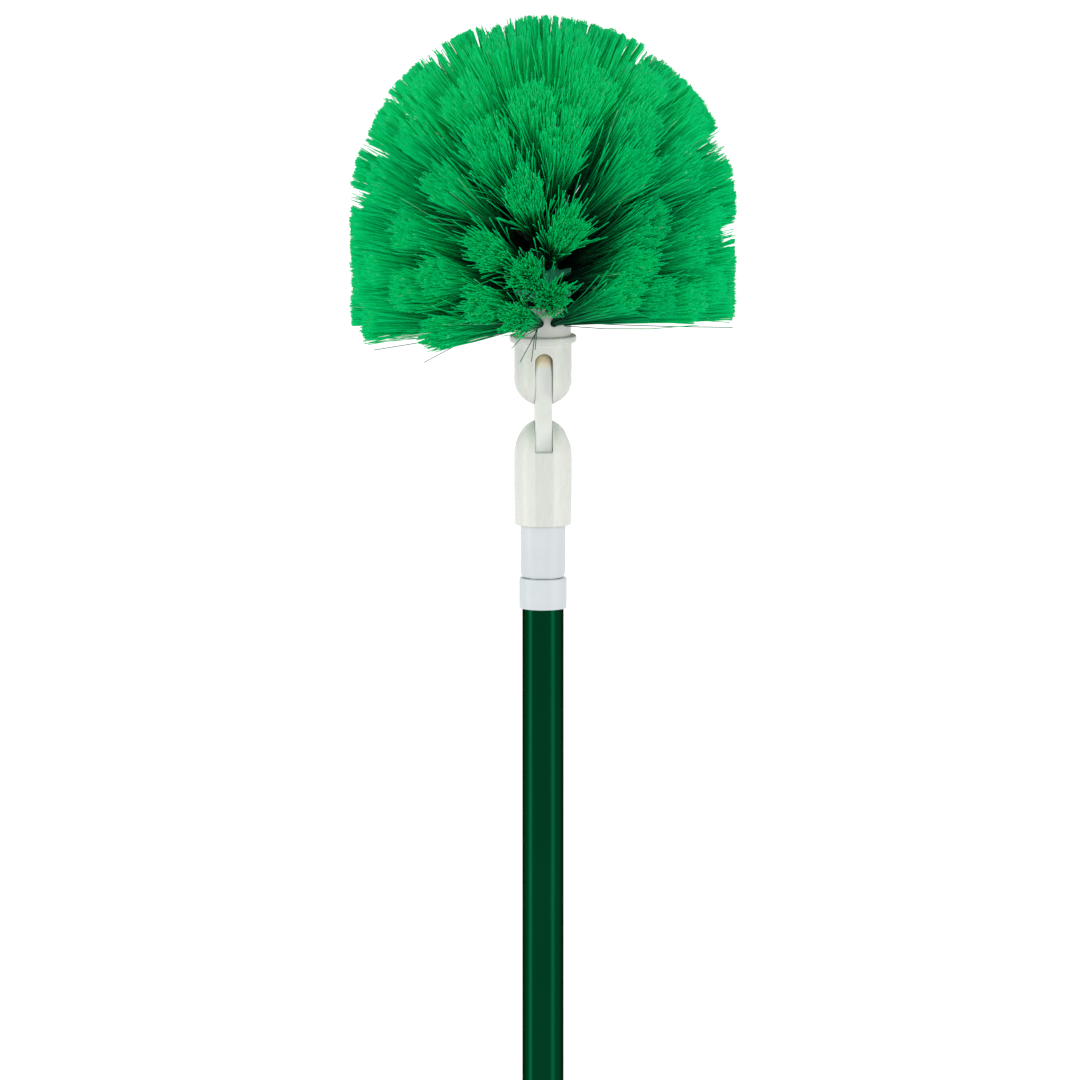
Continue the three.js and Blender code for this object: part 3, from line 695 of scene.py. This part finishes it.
upper = {"pivot": 816.0, "noseDrop": 2.5, "noseHeight": 13.7, "fullness": 2.0, "flangeFoot": 833.4,
         "flangeTop": 837.2, "flangeRadius": 18.0, "flangeEdge": 0.9, "neckEdge": 0.5, "headRadius": 4.2,
         "headTop": 831.1, "shankRadius": 2.2, "spigotRadius": 5.2, "spigotFloor": 834.0, "spigotEdge": 0.2}


def makeUpperFork():
    nose = noseCorners(upper["pivot"] - upper["noseDrop"], upper["noseHeight"], upper["fullness"], -1)
    nose.reverse()
    flange = filletProfile([
        (fork["radius"], upper["flangeFoot"], upper["neckEdge"]),
        (upper["flangeRadius"], upper["flangeFoot"], upper["flangeEdge"]),
        (upper["flangeRadius"], upper["flangeTop"], upper["flangeEdge"]),
        (upper["spigotRadius"], upper["flangeTop"], upper["spigotEdge"]),
        (upper["spigotRadius"], upper["spigotFloor"], 0), (upper["shankRadius"], upper["spigotFloor"], 0),
        (upper["shankRadius"], upper["headTop"], 0), (upper["headRadius"], upper["headTop"], 0),
        (upper["headRadius"], upper["pivot"], 0), (0, upper["pivot"], 0), (0, nose[0][1], 0)])
    piece = spinProfile("upperForkBody", nose + flange, segments=160)
    half = fork["slot"] / 2
    spring = upper["pivot"] + fork["slotDepth"] - half
    cutSlot(piece, spring - cutter["tall"] / 2)
    arch = roundBar("archCutter", half, cutter["wide"], (0, 0, spring), "Y", segments=96)
    combine(piece, arch, "DIFFERENCE")
    drillPin(piece, fork["pinHole"], upper["pivot"])
    finishFork(piece, creamPlastic, "brush_head", "upper_fork")


link = {"thickness": 9.2, "breadth": 19.0, "footReach": 11.7, "headReach": 12.1, "pinHole": 2.8, "voxel": 0.4,
        "rimSteps": 25, "endInset": 0.02}


def makeLink():
    half = link["thickness"] / 2
    rim = [(link["headReach"] - half + half * math.cos(a), half * math.sin(a))
           for a in np.linspace(-math.pi / 2, math.pi / 2, link["rimSteps"])]
    span = upper["pivot"] - lower["pivot"]
    middle = (0, 0, lower["pivot"] + span / 2)
    bar = brick("swivelLinkBody", (link["thickness"], link["breadth"], span), middle)
    pivot = (0, 0, lower["pivot"])
    foot = roundBar("linkFoot", link["footReach"], link["thickness"], pivot, "X", segments=96)
    head = spinProfile("linkHead", [(0, -half)] + rim + [(0, half)], segments=96, closed=False)
    head.rotation_euler = (0, math.pi / 2, 0)
    head.location = (0, 0, upper["pivot"] * mm)
    applyPlace()
    for end, height in ((foot, lower["pivot"]), (head, upper["pivot"])):
        size = (cutter["wide"], link["breadth"] - link["endInset"], cutter["tall"])
        combine(end, brick("trim", size, (0, 0, height)), "INTERSECT")
        combine(bar, end, "UNION")
    for height in (lower["pivot"], upper["pivot"]):
        drillPin(bar, link["pinHole"], height)
    softenEdges(bar, link["voxel"], before=8, after=5)
    finishPiece(bar, hingePlastic, "swivel_link", "cream_plastic", "swivel_link", angle=60)


pins = {"radius": 2.5, "chamfer": 0.4}


def makePin(name, node, body):
    low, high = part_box(node)
    length = (high.x - low.x) / mm
    height = (low.z + high.z) / 2 / mm
    pin = roundBar(name, pins["radius"], length, (0, 0, height), "X", segments=48, chamfer=pins["chamfer"])
    finishPiece(pin, turnedSteel, body, "steel", node)


makeLowerFork()
makeUpperFork()
makeLink()
makePin("lowerPin", "lower_pivot_pin", "inner_pole")
makePin("upperPin", "upper_pivot_pin", "brush_head")
print("hinge ready")

# brush

# rowLight is how far along its painted root shade each row's filaments start
brush = {"rimRadius": 104.0, "blockRadius": 15.0, "neckFoot": 837.2, "firstRow": 845.0, "rowPitch": 10.2,
         "sideRows": 6, "domeBase": 905.0, "tuftsPerRow": 12, "frontAngle": -9.0, "firstLean": 6.0,
         "leanGain": 1.25, "domeLift": 43.0, "crownLift": 66.0, "crownTufts": 6,
         "rowLight": (0.3, 0, 0, 0, 0, 0.1, 0.55), "holeRadius": 2.2, "holeDepth": 3.0, "holeSides": 20,
         "spigotRadius": 5.0, "spigotFoot": 834.2, "edge": 0.4, "domeSteps": 20}

# how the tufts have been pushed about: middle angle, width, first and last row, lift and turn in degrees
combing = [
    (32, 32, 0, 6, 7.0, 0.0), (-45, 22, 0, 6, -2.5, 2.0), (21, 14, 4, 4, 3.0, 8.0),
    (36, 12, 3, 3, -3.0, -3.0), (-24, 12, 3, 3, -4.0, 1.0), (6, 10, 1, 1, -1.0, -5.0),
    (6, 10, 3, 3, 0.0, 3.0), (21, 10, 2, 2, -5.0, 12.0), (36, 10, 1, 1, -4.0, 2.0),
    (21, 10, 0, 0, 4.0, 4.0), (-9, 8, 0, 0, 2.0, -3.0), (-39, 10, 0, 0, -2.8, 0.0),
    (-69, 10, 0, 0, -3.2, 0.0), (-99, 10, 0, 0, -3.6, 0.0),
]


def combed(angle, row):
    lift, turn = 0.0, 0.0
    for at, width, firstRow, lastRow, liftMost, turnMost in combing:
        if firstRow <= row <= lastRow:
            away = (angle - at + 180) % 360 - 180
            weight = math.exp(-(away / width) ** 2)
            lift += liftMost * weight
            turn += turnMost * weight
    return lift, turn


def tuftAt(angle, radius, height, lean, row=0):
    turn, rise = math.radians(angle), math.radians(lean)
    outward = np.array([math.sin(turn), -math.cos(turn), 0.0])
    sideways = np.array([math.cos(turn), math.sin(turn), 0.0])
    axis = outward * math.cos(rise) + np.array([0, 0, math.sin(rise)])
    hole = outward * radius + np.array([0, 0, height])
    return {"hole": hole, "axis": axis, "sideways": sideways, "angle": angle, "row": row}


def sideRow(row):
    pitch = 360 / brush["tuftsPerRow"]
    tufts = []
    for k in range(brush["tuftsPerRow"]):
        angle = brush["frontAngle"] + (k + 0.5 * (row % 2)) * pitch
        height = brush["firstRow"] + row * brush["rowPitch"]
        lean = brush["firstLean"] + brush["leanGain"] * row ** 2
        tufts.append(tuftAt(angle, brush["blockRadius"], height, lean, row))
    return tufts


def domeRow(count, lift, stagger):
    rise = math.radians(lift)
    radius = brush["blockRadius"] * math.cos(rise)
    height = brush["domeBase"] + brush["blockRadius"] * math.sin(rise)
    pitch = 360 / count
    return [tuftAt(brush["frontAngle"] + (k + stagger) * pitch, radius, height, lift, brush["sideRows"])
            for k in range(count)]


sideTufts = [sideRow(row) for row in range(brush["sideRows"])]
domeTufts = domeRow(brush["tuftsPerRow"], brush["domeLift"], 0)
crownTufts = domeRow(brush["crownTufts"], brush["crownLift"], 0.5) + domeRow(1, 90, 0)
allTufts = [tuft for row in sideTufts for tuft in row] + domeTufts + crownTufts


def makeBlock():
    dome = [(brush["blockRadius"] * math.cos(a), brush["domeBase"] + brush["blockRadius"] * math.sin(a))
            for a in np.linspace(0, math.pi / 2, brush["domeSteps"])]
    foot = filletProfile([
        (0, brush["spigotFoot"], 0), (brush["spigotRadius"], brush["spigotFoot"], brush["edge"]),
        (brush["spigotRadius"], brush["neckFoot"], 0),
        (brush["blockRadius"], brush["neckFoot"], brush["edge"]),
        (brush["blockRadius"], brush["domeBase"], 0)])[:-1]
    piece = spinProfile("brushBlockBody", foot + dome[:-1] + [(0, dome[-1][1])], closed=False)
    drills = []
    for tuft in allTufts:
        clearSelection()
        bpy.ops.mesh.primitive_cylinder_add(vertices=brush["holeSides"], radius=brush["holeRadius"] * mm,
                                            depth=2 * brush["holeDepth"] * mm)
        drill = bpy.context.object
        drill.rotation_euler = Vector(tuft["axis"]).to_track_quat("Z", "Y").to_euler()
        drill.location = Vector(tuft["hole"]) * mm
        applyPlace()
        drills.append(drill)
    clearSelection()
    for drill in drills:
        drill.select_set(True)
    bpy.context.view_layer.objects.active = drills[0]
    bpy.ops.object.join()
    combine(piece, drills[0], "DIFFERENCE", crossing=True)
    finishPiece(piece, shadedPlastic, "brush_head", "cream_plastic", "brush_block")


filament = {"radius": 0.26, "perTuft": 400, "crownTuft": 500, "rings": 3, "sink": 3.0, "rootSpread": 1.9,
            "rootPacking": 1.3, "tipSpread": 9.8, "topSpread": 12.5, "spreadRange": (0.92, 1.1),
            "sideSpread": 0.1, "topFrom": 20, "topOver": 20, "bow": 1.3, "splay": 1.6, "shortest": 0.98,
            "clumps": 21, "clumpSize": 0.15, "clumpJitter": 0.08, "clumpShortest": 0.985, "tuftEdge": 1.25,
            "strays": 0.22, "strayReach": 2.2, "sideStrays": 0.5, "secondRowDrop": -1.15, "sideLight": 0.12,
            "steadyFront": 1.0, "looseBack": 2.2, "lowestRest": 0.5, "turnUnrest": 1.2}
# the range of random turns, and a direction that no filament lies along
fullTurn = 6.28
offAxis = np.array([0.31, 0.53, 0.79])


def makeFilament():
    # one three-sided filament a unit long, modelled once for the whole brush
    clearSelection()
    bpy.ops.mesh.primitive_cylinder_add(vertices=3, radius=1, depth=1, location=(0, 0, 0.5))
    strand = nameActive("filament")
    applyPlace()

    def isLong(edge):
        a, b = edgeEnds(strand, edge)
        return abs(a.z - b.z) > 0.5

    chooseParts(strand, "EDGE", "edges", isLong)
    bpy.ops.mesh.subdivide(number_cuts=filament["rings"] - 1)
    bpy.ops.object.mode_set(mode="OBJECT")
    points = np.array([v.co for v in strand.data.vertices])
    faces = [list(face.vertices) for face in strand.data.polygons]
    bpy.data.objects.remove(strand)
    return {"across": points[:, :2], "along": points[:, 2], "faces": faces}


def trimmedReach(start, direction):
    # to the trimmed outline: a drum below the base of the dome, a dome above it
    level, startLevel = direction[:, :2], start[:, :2]
    rim = brush["rimRadius"]
    a = (level ** 2).sum(1)
    b = (startLevel * level).sum(1)
    c = (startLevel ** 2).sum(1) - rim ** 2
    toDrum = (-b + np.sqrt(np.maximum(b * b - a * c, 0))) / np.maximum(a, 1e-9)
    fromMiddle = start - np.array([0, 0, brush["domeBase"]])
    b = (fromMiddle * direction).sum(1)
    c = (fromMiddle ** 2).sum(1) - rim ** 2
    toDome = -b + np.sqrt(b * b - c)
    return np.where(start[:, 2] + toDrum * direction[:, 2] <= brush["domeBase"], toDrum, toDome)


def unit(vectors):
    return vectors / np.linalg.norm(vectors, axis=1, keepdims=True)


# the tufts to the right of the front are dark further out: middle angle and width in degrees
shadow = {"at": 42, "width": 20, "root": 0.08, "end": 0.22}

# where the tips stand apart round the rim: degrees up from +X, then how far they are pushed in millimetres
partings = {
    "height": 880.0, "from": 0.74, "full": 0.92, "fade": 2.3, "held": 0.12,
    "lines": [
        (4, 1.0), (6.5, 1.4), (19, 1.0), (22, 1.2), (29.5, 1.3), (32, 1.0), (47.5, 0.9), (50, 1.3),
        (52.5, 1.2), (66.5, 1.5), (68.5, 1.9), (70.5, 1.4), (78, 1.3), (86, 1.2), (88, 1.5), (90.5, 1.3),
        (97, 1.2), (99.5, 1.3), (107, 1.4), (114, 1.3), (116.5, 1.8), (118.5, 1.3), (129, 1.2), (131.5, 1.3),
        (134, 0.9), (149, 1.2), (152, 0.9), (158.5, 1.2), (161.5, 1.2), (164, 0.9), (175, 0.9),
    ],
}
heldBack = np.random.default_rng(7)


def parted(ends):
    across, up = ends[:, 0], ends[:, 2] - brush["domeBase"]
    near = np.where(up > 0, np.hypot(across, up), np.abs(across)) / brush["rimRadius"]
    weight = np.clip((near - partings["from"]) / (partings["full"] - partings["from"]), 0, 1)
    angle = np.arctan2(ends[:, 2] - partings["height"], across)
    push = np.zeros(len(ends))
    for at, width in partings["lines"]:
        away = (angle - math.radians(at)) * brush["rimRadius"]
        push += np.sign(away) * width * np.exp(-np.abs(away) / (partings["fade"] * width))
    push *= weight * (heldBack.random(len(ends)) > partings["held"])
    along = np.stack([-np.sin(angle), np.zeros(len(ends)), np.cos(angle)], 1)
    return ends + push[:, None] * along


def aimTuft(tuft, lean, unrest):
    lift, turn = combed(tuft["angle"], tuft["row"])
    steep = max(0.0, math.cos(math.radians(lean)))
    lift = lift * steep + rng.normal(0, unrest)
    turned = tuft["angle"] + turn * steep + rng.normal(0, filament["turnUnrest"] * unrest)
    aim = tuftAt(turned, 1, 0, lean + lift)
    return aim["axis"], aim["sideways"]


def scatter(count):
    # filaments gather in small locks, spread like seeds over the tuft
    lock = np.arange(filament["clumps"])
    lockAngle = lock * math.pi * (3 - math.sqrt(5)) + rng.uniform(0, fullTurn)
    lockRadius = np.sqrt((lock + 0.5) / filament["clumps"])
    locks = np.stack([lockRadius * np.cos(lockAngle), lockRadius * np.sin(lockAngle)], 1)
    locks += rng.normal(0, filament["clumpJitter"], locks.shape)
    lockLength = rng.uniform(filament["clumpShortest"], 1.0, filament["clumps"])
    mine = rng.integers(0, filament["clumps"], count)
    place = locks[mine] + rng.normal(0, filament["clumpSize"], (count, 2))
    far = np.linalg.norm(place, axis=1)
    place *= np.minimum(1, filament["tuftEdge"] / np.maximum(far, 1e-9))[:, None]
    return place, lockLength[mine]


def lightAlong(tuft, aside):
    # where along its painted root shade a filament starts and ends
    root = max(brush["rowLight"][tuft["row"]], filament["sideLight"] * aside)
    dim = 0
    if 0 < tuft["row"] < brush["sideRows"]:
        dim = math.exp(-((tuft["angle"] - shadow["at"]) / shadow["width"]) ** 2)
    return root + shadow["root"] * dim, 1 - shadow["end"] * dim


def growTuft(tuft, template):
    count = filament["crownTuft" if tuft["row"] == brush["sideRows"] else "perTuft"]
    lean = math.degrees(math.asin(np.clip(tuft["axis"][2], -1, 1)))
    behind = (1 - math.cos(math.radians(tuft["angle"]))) / 2
    aside = math.sin(math.radians(tuft["angle"])) ** 2
    loosening = filament["looseBack"] - filament["steadyFront"]
    unrest = filament["steadyFront"] + loosening * min(1.0, 2 * behind)
    unrest *= filament["lowestRest"] if tuft["row"] == 0 else 1.0
    axis, sideways = aimTuft(tuft, lean, unrest)
    upward = np.cross(sideways, axis) * -1
    place, lockLength = scatter(count)
    rootPlace = place[:, :1] * sideways + place[:, 1:] * upward
    rootPlace = rootPlace * filament["rootSpread"] / filament["rootPacking"]
    # stray filaments stand off all round, but not below the lowest row
    strayShare = filament["strays"] * (1 - filament["sideStrays"] * aside)
    stray = (rng.random(count) < strayShare) & ((tuft["row"] > 0) | (place[:, 1] > 0))
    place[stray] *= rng.uniform(1.0, filament["strayReach"], (stray.sum(), 1))
    if tuft["row"] == 1:
        place[:, 1] = np.maximum(place[:, 1], filament["secondRowDrop"])
    across = place[:, :1] * sideways + place[:, 1:] * upward
    rising = min(1.0, max(0.0, (lean - filament["topFrom"]) / filament["topOver"]))
    tipSpread = filament["tipSpread"] + (filament["topSpread"] - filament["tipSpread"]) * rising
    tipSpread *= rng.uniform(*filament["spreadRange"]) * (1 - filament["sideSpread"] * aside)
    starts = tuft["hole"] - tuft["axis"] * filament["sink"] + rootPlace
    aims = tuft["hole"] + axis * (brush["rimRadius"] - brush["blockRadius"]) + across * tipSpread
    direction = unit(aims - starts)
    reach = trimmedReach(starts, direction) * lockLength * rng.uniform(filament["shortest"], 1.0, count)
    ends = parted(starts + direction * reach[:, None])
    bows = rng.normal(0, filament["bow"], (count, 3))
    span = ends - starts
    forward = (span @ axis)[:, None]
    lateral = span - forward * axis
    u = template["along"][None, :, None]
    centre = starts[:, None, :] + forward[:, None, :] * axis * u
    centre = centre + lateral[:, None, :] * u ** filament["splay"]
    centre = centre + bows[:, None, :] * (4 * u * (1 - u))
    level = unit(np.cross(direction, offAxis))
    upright = np.cross(direction, level)
    twist = rng.uniform(0, fullTurn, count)[:, None]
    sideA = level * np.cos(twist) + upright * np.sin(twist)
    sideB = upright * np.cos(twist) - level * np.sin(twist)
    ring = template["across"] * filament["radius"]
    points = centre + ring[None, :, :1] * sideA[:, None, :] + ring[None, :, 1:] * sideB[:, None, :]
    tone = np.repeat(rng.random(count), len(template["along"]))
    litRoot, litEnd = lightAlong(tuft, aside)
    along = np.tile(litRoot + (litEnd - litRoot) * template["along"], count)
    return points.reshape(-1, 3) * mm, tone, along, count


# loose filaments below the brush: root angle, then the bend and the tip in millimetres
looseEnds = [
    (-9, (-4, -48, 847), (-14, -44, 828)),
    (-9, (-9, -50, 848), (-19, -52, 836)),
    (-9, (-6, -46, 850), (-8, -42, 828)),
    (-9, (-5, -44, 850), (-6, -40, 834)),
    (-39, (-40, -48, 844), (-66, -60, 830)),
    (-39, (-50, -50, 842), (-92, -38, 834)),
    (51, (50, -40, 846), (101, -12, 842)),
]
looseLook = {"tone": 0.1, "from": 0.36, "gain": 0.25}


def growLooseEnd(end, template):
    angle, bend, tip = end
    first = tuftAt(angle, brush["blockRadius"], brush["firstRow"], 0)["hole"]
    bend, last = np.array(bend), np.array(tip)
    u = template["along"][:, None]
    centre = first * (1 - u) ** 2 + 2 * bend * u * (1 - u) + last * u ** 2
    direction = unit((last - first)[None, :])[0]
    sideA = unit(np.cross(direction, offAxis)[None, :])[0]
    sideB = np.cross(direction, sideA)
    ring = template["across"] * filament["radius"]
    points = centre + ring[:, :1] * sideA + ring[:, 1:] * sideB
    along = template["along"] * looseLook["gain"] + looseLook["from"]
    return points * mm, np.full(len(u), looseLook["tone"]), along, 1


def makeBristles(name, tufts, node, template, ends=()):
    grown = [growTuft(tuft, template) for tuft in tufts] + [growLooseEnd(end, template) for end in ends]
    points, tones, alongs, counts = zip(*grown)
    total = sum(counts)
    size = len(template["along"])
    faces = [[i + size * k for i in face] for k in range(total) for face in template["faces"]]
    mesh = bpy.data.meshes.new(name)
    mesh.from_pydata(np.concatenate(points).tolist(), [], faces)
    for label, values in (("filamentTone", tones), ("alongFilament", alongs)):
        attribute = mesh.attributes.new(label, "FLOAT", "POINT")
        attribute.data.foreach_set("value", np.concatenate(values).astype(np.float32))
    piece = bpy.data.objects.new(name, mesh)
    bpy.context.scene.collection.objects.link(piece)
    finishPiece(piece, bristleGreen, "brush_head", "green_bristle", node, angle=180)
    print(name, total, "filaments")


makeBlock()
strandTemplate = makeFilament()
makeBristles("bristlesBottom", sideTufts[0] + sideTufts[1], "bristles_bottom", strandTemplate, looseEnds)
makeBristles("bristlesLower", sideTufts[2] + sideTufts[3], "bristles_lower", strandTemplate)
makeBristles("bristlesUpper", sideTufts[4] + sideTufts[5], "bristles_upper", strandTemplate)
makeBristles("bristlesCrown", domeTufts + crownTufts, "bristles_crown", strandTemplate)
print("brush ready")

# pieces kept from the frame

for node, material in (("lock_plug", darkPlastic), ("lock_cam", darkPlastic), ("block_screw", turnedSteel)):
    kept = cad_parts[node]
    kept.data.materials.clear()
    kept.data.materials.append(material)

# studio

studio = {"fill": 0.385, "white": 1.0, "floorSize": 60.0, "floorColour": (0.82, 0.82, 0.82), "nearGlow": 0.45,
          "farGlow": 0.85, "glowFrom": 0.5, "glowTo": 3.0, "sunAway": 3.0}


def makeWorld():
    world = bpy.data.worlds.new("studioWorld")
    bpy.context.scene.world = world
    world.use_nodes = True
    tree = world.node_tree
    tree.nodes.clear()
    mix = tree.nodes.new("ShaderNodeMixShader")
    out = tree.nodes.new("ShaderNodeOutputWorld")
    tree.links.new(seenRays(tree), mix.inputs["Fac"])
    for place, strength in ((1, studio["fill"]), (2, studio["white"])):
        light = tree.nodes.new("ShaderNodeBackground")
        light.inputs["Strength"].default_value = strength
        light.inputs["Color"].default_value = (1, 1, 1, 1)
        tree.links.new(light.outputs["Background"], mix.inputs[place])
    tree.links.new(mix.outputs["Shader"], out.inputs["Surface"])


def seenRays(tree):
    # what the camera sees straight on, in a gloss or through glass
    path = tree.nodes.new("ShaderNodeLightPath").outputs
    straight = calculate(tree, "MAXIMUM", path["Is Camera Ray"], path["Is Glossy Ray"])
    return calculate(tree, "MAXIMUM", straight, path["Is Transmission Ray"])


def makeFloor():
    clearSelection()
    bpy.ops.mesh.primitive_plane_add(size=studio["floorSize"])
    floor = nameActive("floor")
    material = bpy.data.materials.new("paleFloor")
    material.use_nodes = True
    tree = material.node_tree
    tree.nodes.clear()
    matt = tree.nodes.new("ShaderNodeBsdfDiffuse")
    matt.inputs["Color"].default_value = (*studio["floorColour"], 1)
    glow = tree.nodes.new("ShaderNodeEmission")
    coords = tree.nodes.new("ShaderNodeTexCoord")
    away = tree.nodes.new("ShaderNodeVectorMath")
    away.operation = "LENGTH"
    tree.links.new(coords.outputs["Object"], away.inputs[0])
    lift = spread(tree, away.outputs["Value"], studio["nearGlow"], studio["farGlow"],
                  studio["glowFrom"], studio["glowTo"])
    share = calculate(tree, "MULTIPLY", seenRays(tree), lift)
    tree.links.new(share, glow.inputs["Strength"])
    both = tree.nodes.new("ShaderNodeAddShader")
    out = tree.nodes.new("ShaderNodeOutputMaterial")
    tree.links.new(matt.outputs["BSDF"], both.inputs[0])
    tree.links.new(glow.outputs["Emission"], both.inputs[1])
    tree.links.new(both.outputs["Shader"], out.inputs["Surface"])
    floor.data.materials.append(material)


# side is degrees round from the front towards +X, sizes are in metres
suns = [
    {"name": "frontSoft", "side": -2, "rise": 7, "strength": 0.95, "spread": 40},
    {"name": "leftSoft", "side": -76, "rise": 7, "strength": 0.43, "spread": 40},
    {"name": "rightSoft", "side": 70, "rise": 7, "strength": 0.43, "spread": 40},
]
lowBox = {"name": "lowBox", "side": 2, "strength": 1.3, "width": 1.0, "away": 1.4, "middle": 0.5,
          "height": 0.6}
boxes = [
    {"name": "leftBox", "side": -77, "strength": 7.4, "width": 0.45},
    {"name": "rightBox", "side": 54, "strength": 6.0, "width": 0.45},
]
boxStand = {"away": 1.3, "middle": 1.12, "height": 2.2}


def towards(side, rise=0.0):
    turn, up = math.radians(side), math.radians(rise)
    return Vector((math.sin(turn) * math.cos(up), -math.cos(turn) * math.cos(up), math.sin(up)))


def addLamp(kind, name, back, place, strength):
    clearSelection()
    bpy.ops.object.light_add(type=kind, location=place)
    lamp = bpy.context.object
    lamp.name = name
    lamp.data.energy = strength
    lamp.rotation_mode = "QUATERNION"
    lamp.rotation_quaternion = back.to_track_quat("Z", "Y")
    return lamp


def makeBox(box):
    back = towards(box["side"])
    place = back * box["away"] + Vector((0, 0, box["middle"]))
    lamp = addLamp("AREA", box["name"], back, place, box["strength"])
    lamp.data.shape = "RECTANGLE"
    lamp.data.size = box["width"]
    lamp.data.size_y = box["height"]
    lamp.visible_camera = False
    return lamp


def makeLamps():
    for sun in suns:
        back = towards(sun["side"], sun["rise"])
        lamp = addLamp("SUN", sun["name"], back, back * studio["sunAway"], sun["strength"])
        lamp.data.angle = math.radians(sun["spread"])
        lamp.visible_glossy = False
    for box in boxes:
        makeBox({**boxStand, **box})
    makeBox(lowBox).visible_glossy = False


view = {"target": (-1.6, 0.0, 726.5), "distance": 12000.0, "side": -2.5, "rise": 7.5, "width": 577.8,
        "sensor": 36.0, "clipEnd": 100}


def makeCamera():
    clearSelection()
    back = towards(view["side"], view["rise"])
    bpy.ops.object.camera_add(location=(Vector(view["target"]) + back * view["distance"]) * mm)
    camera = bpy.context.object
    camera.name = "photoCamera"
    camera.rotation_mode = "QUATERNION"
    camera.rotation_quaternion = (-back).to_track_quat("-Z", "Y")
    camera.data.sensor_width = view["sensor"]
    camera.data.lens = view["sensor"] * view["distance"] / view["width"]
    camera.data.clip_end = view["clipEnd"]
    bpy.context.scene.camera = camera


makeWorld()
makeFloor()
makeLamps()
makeCamera()
bpy.context.scene.view_settings.view_transform = "Standard"
print("studio ready")
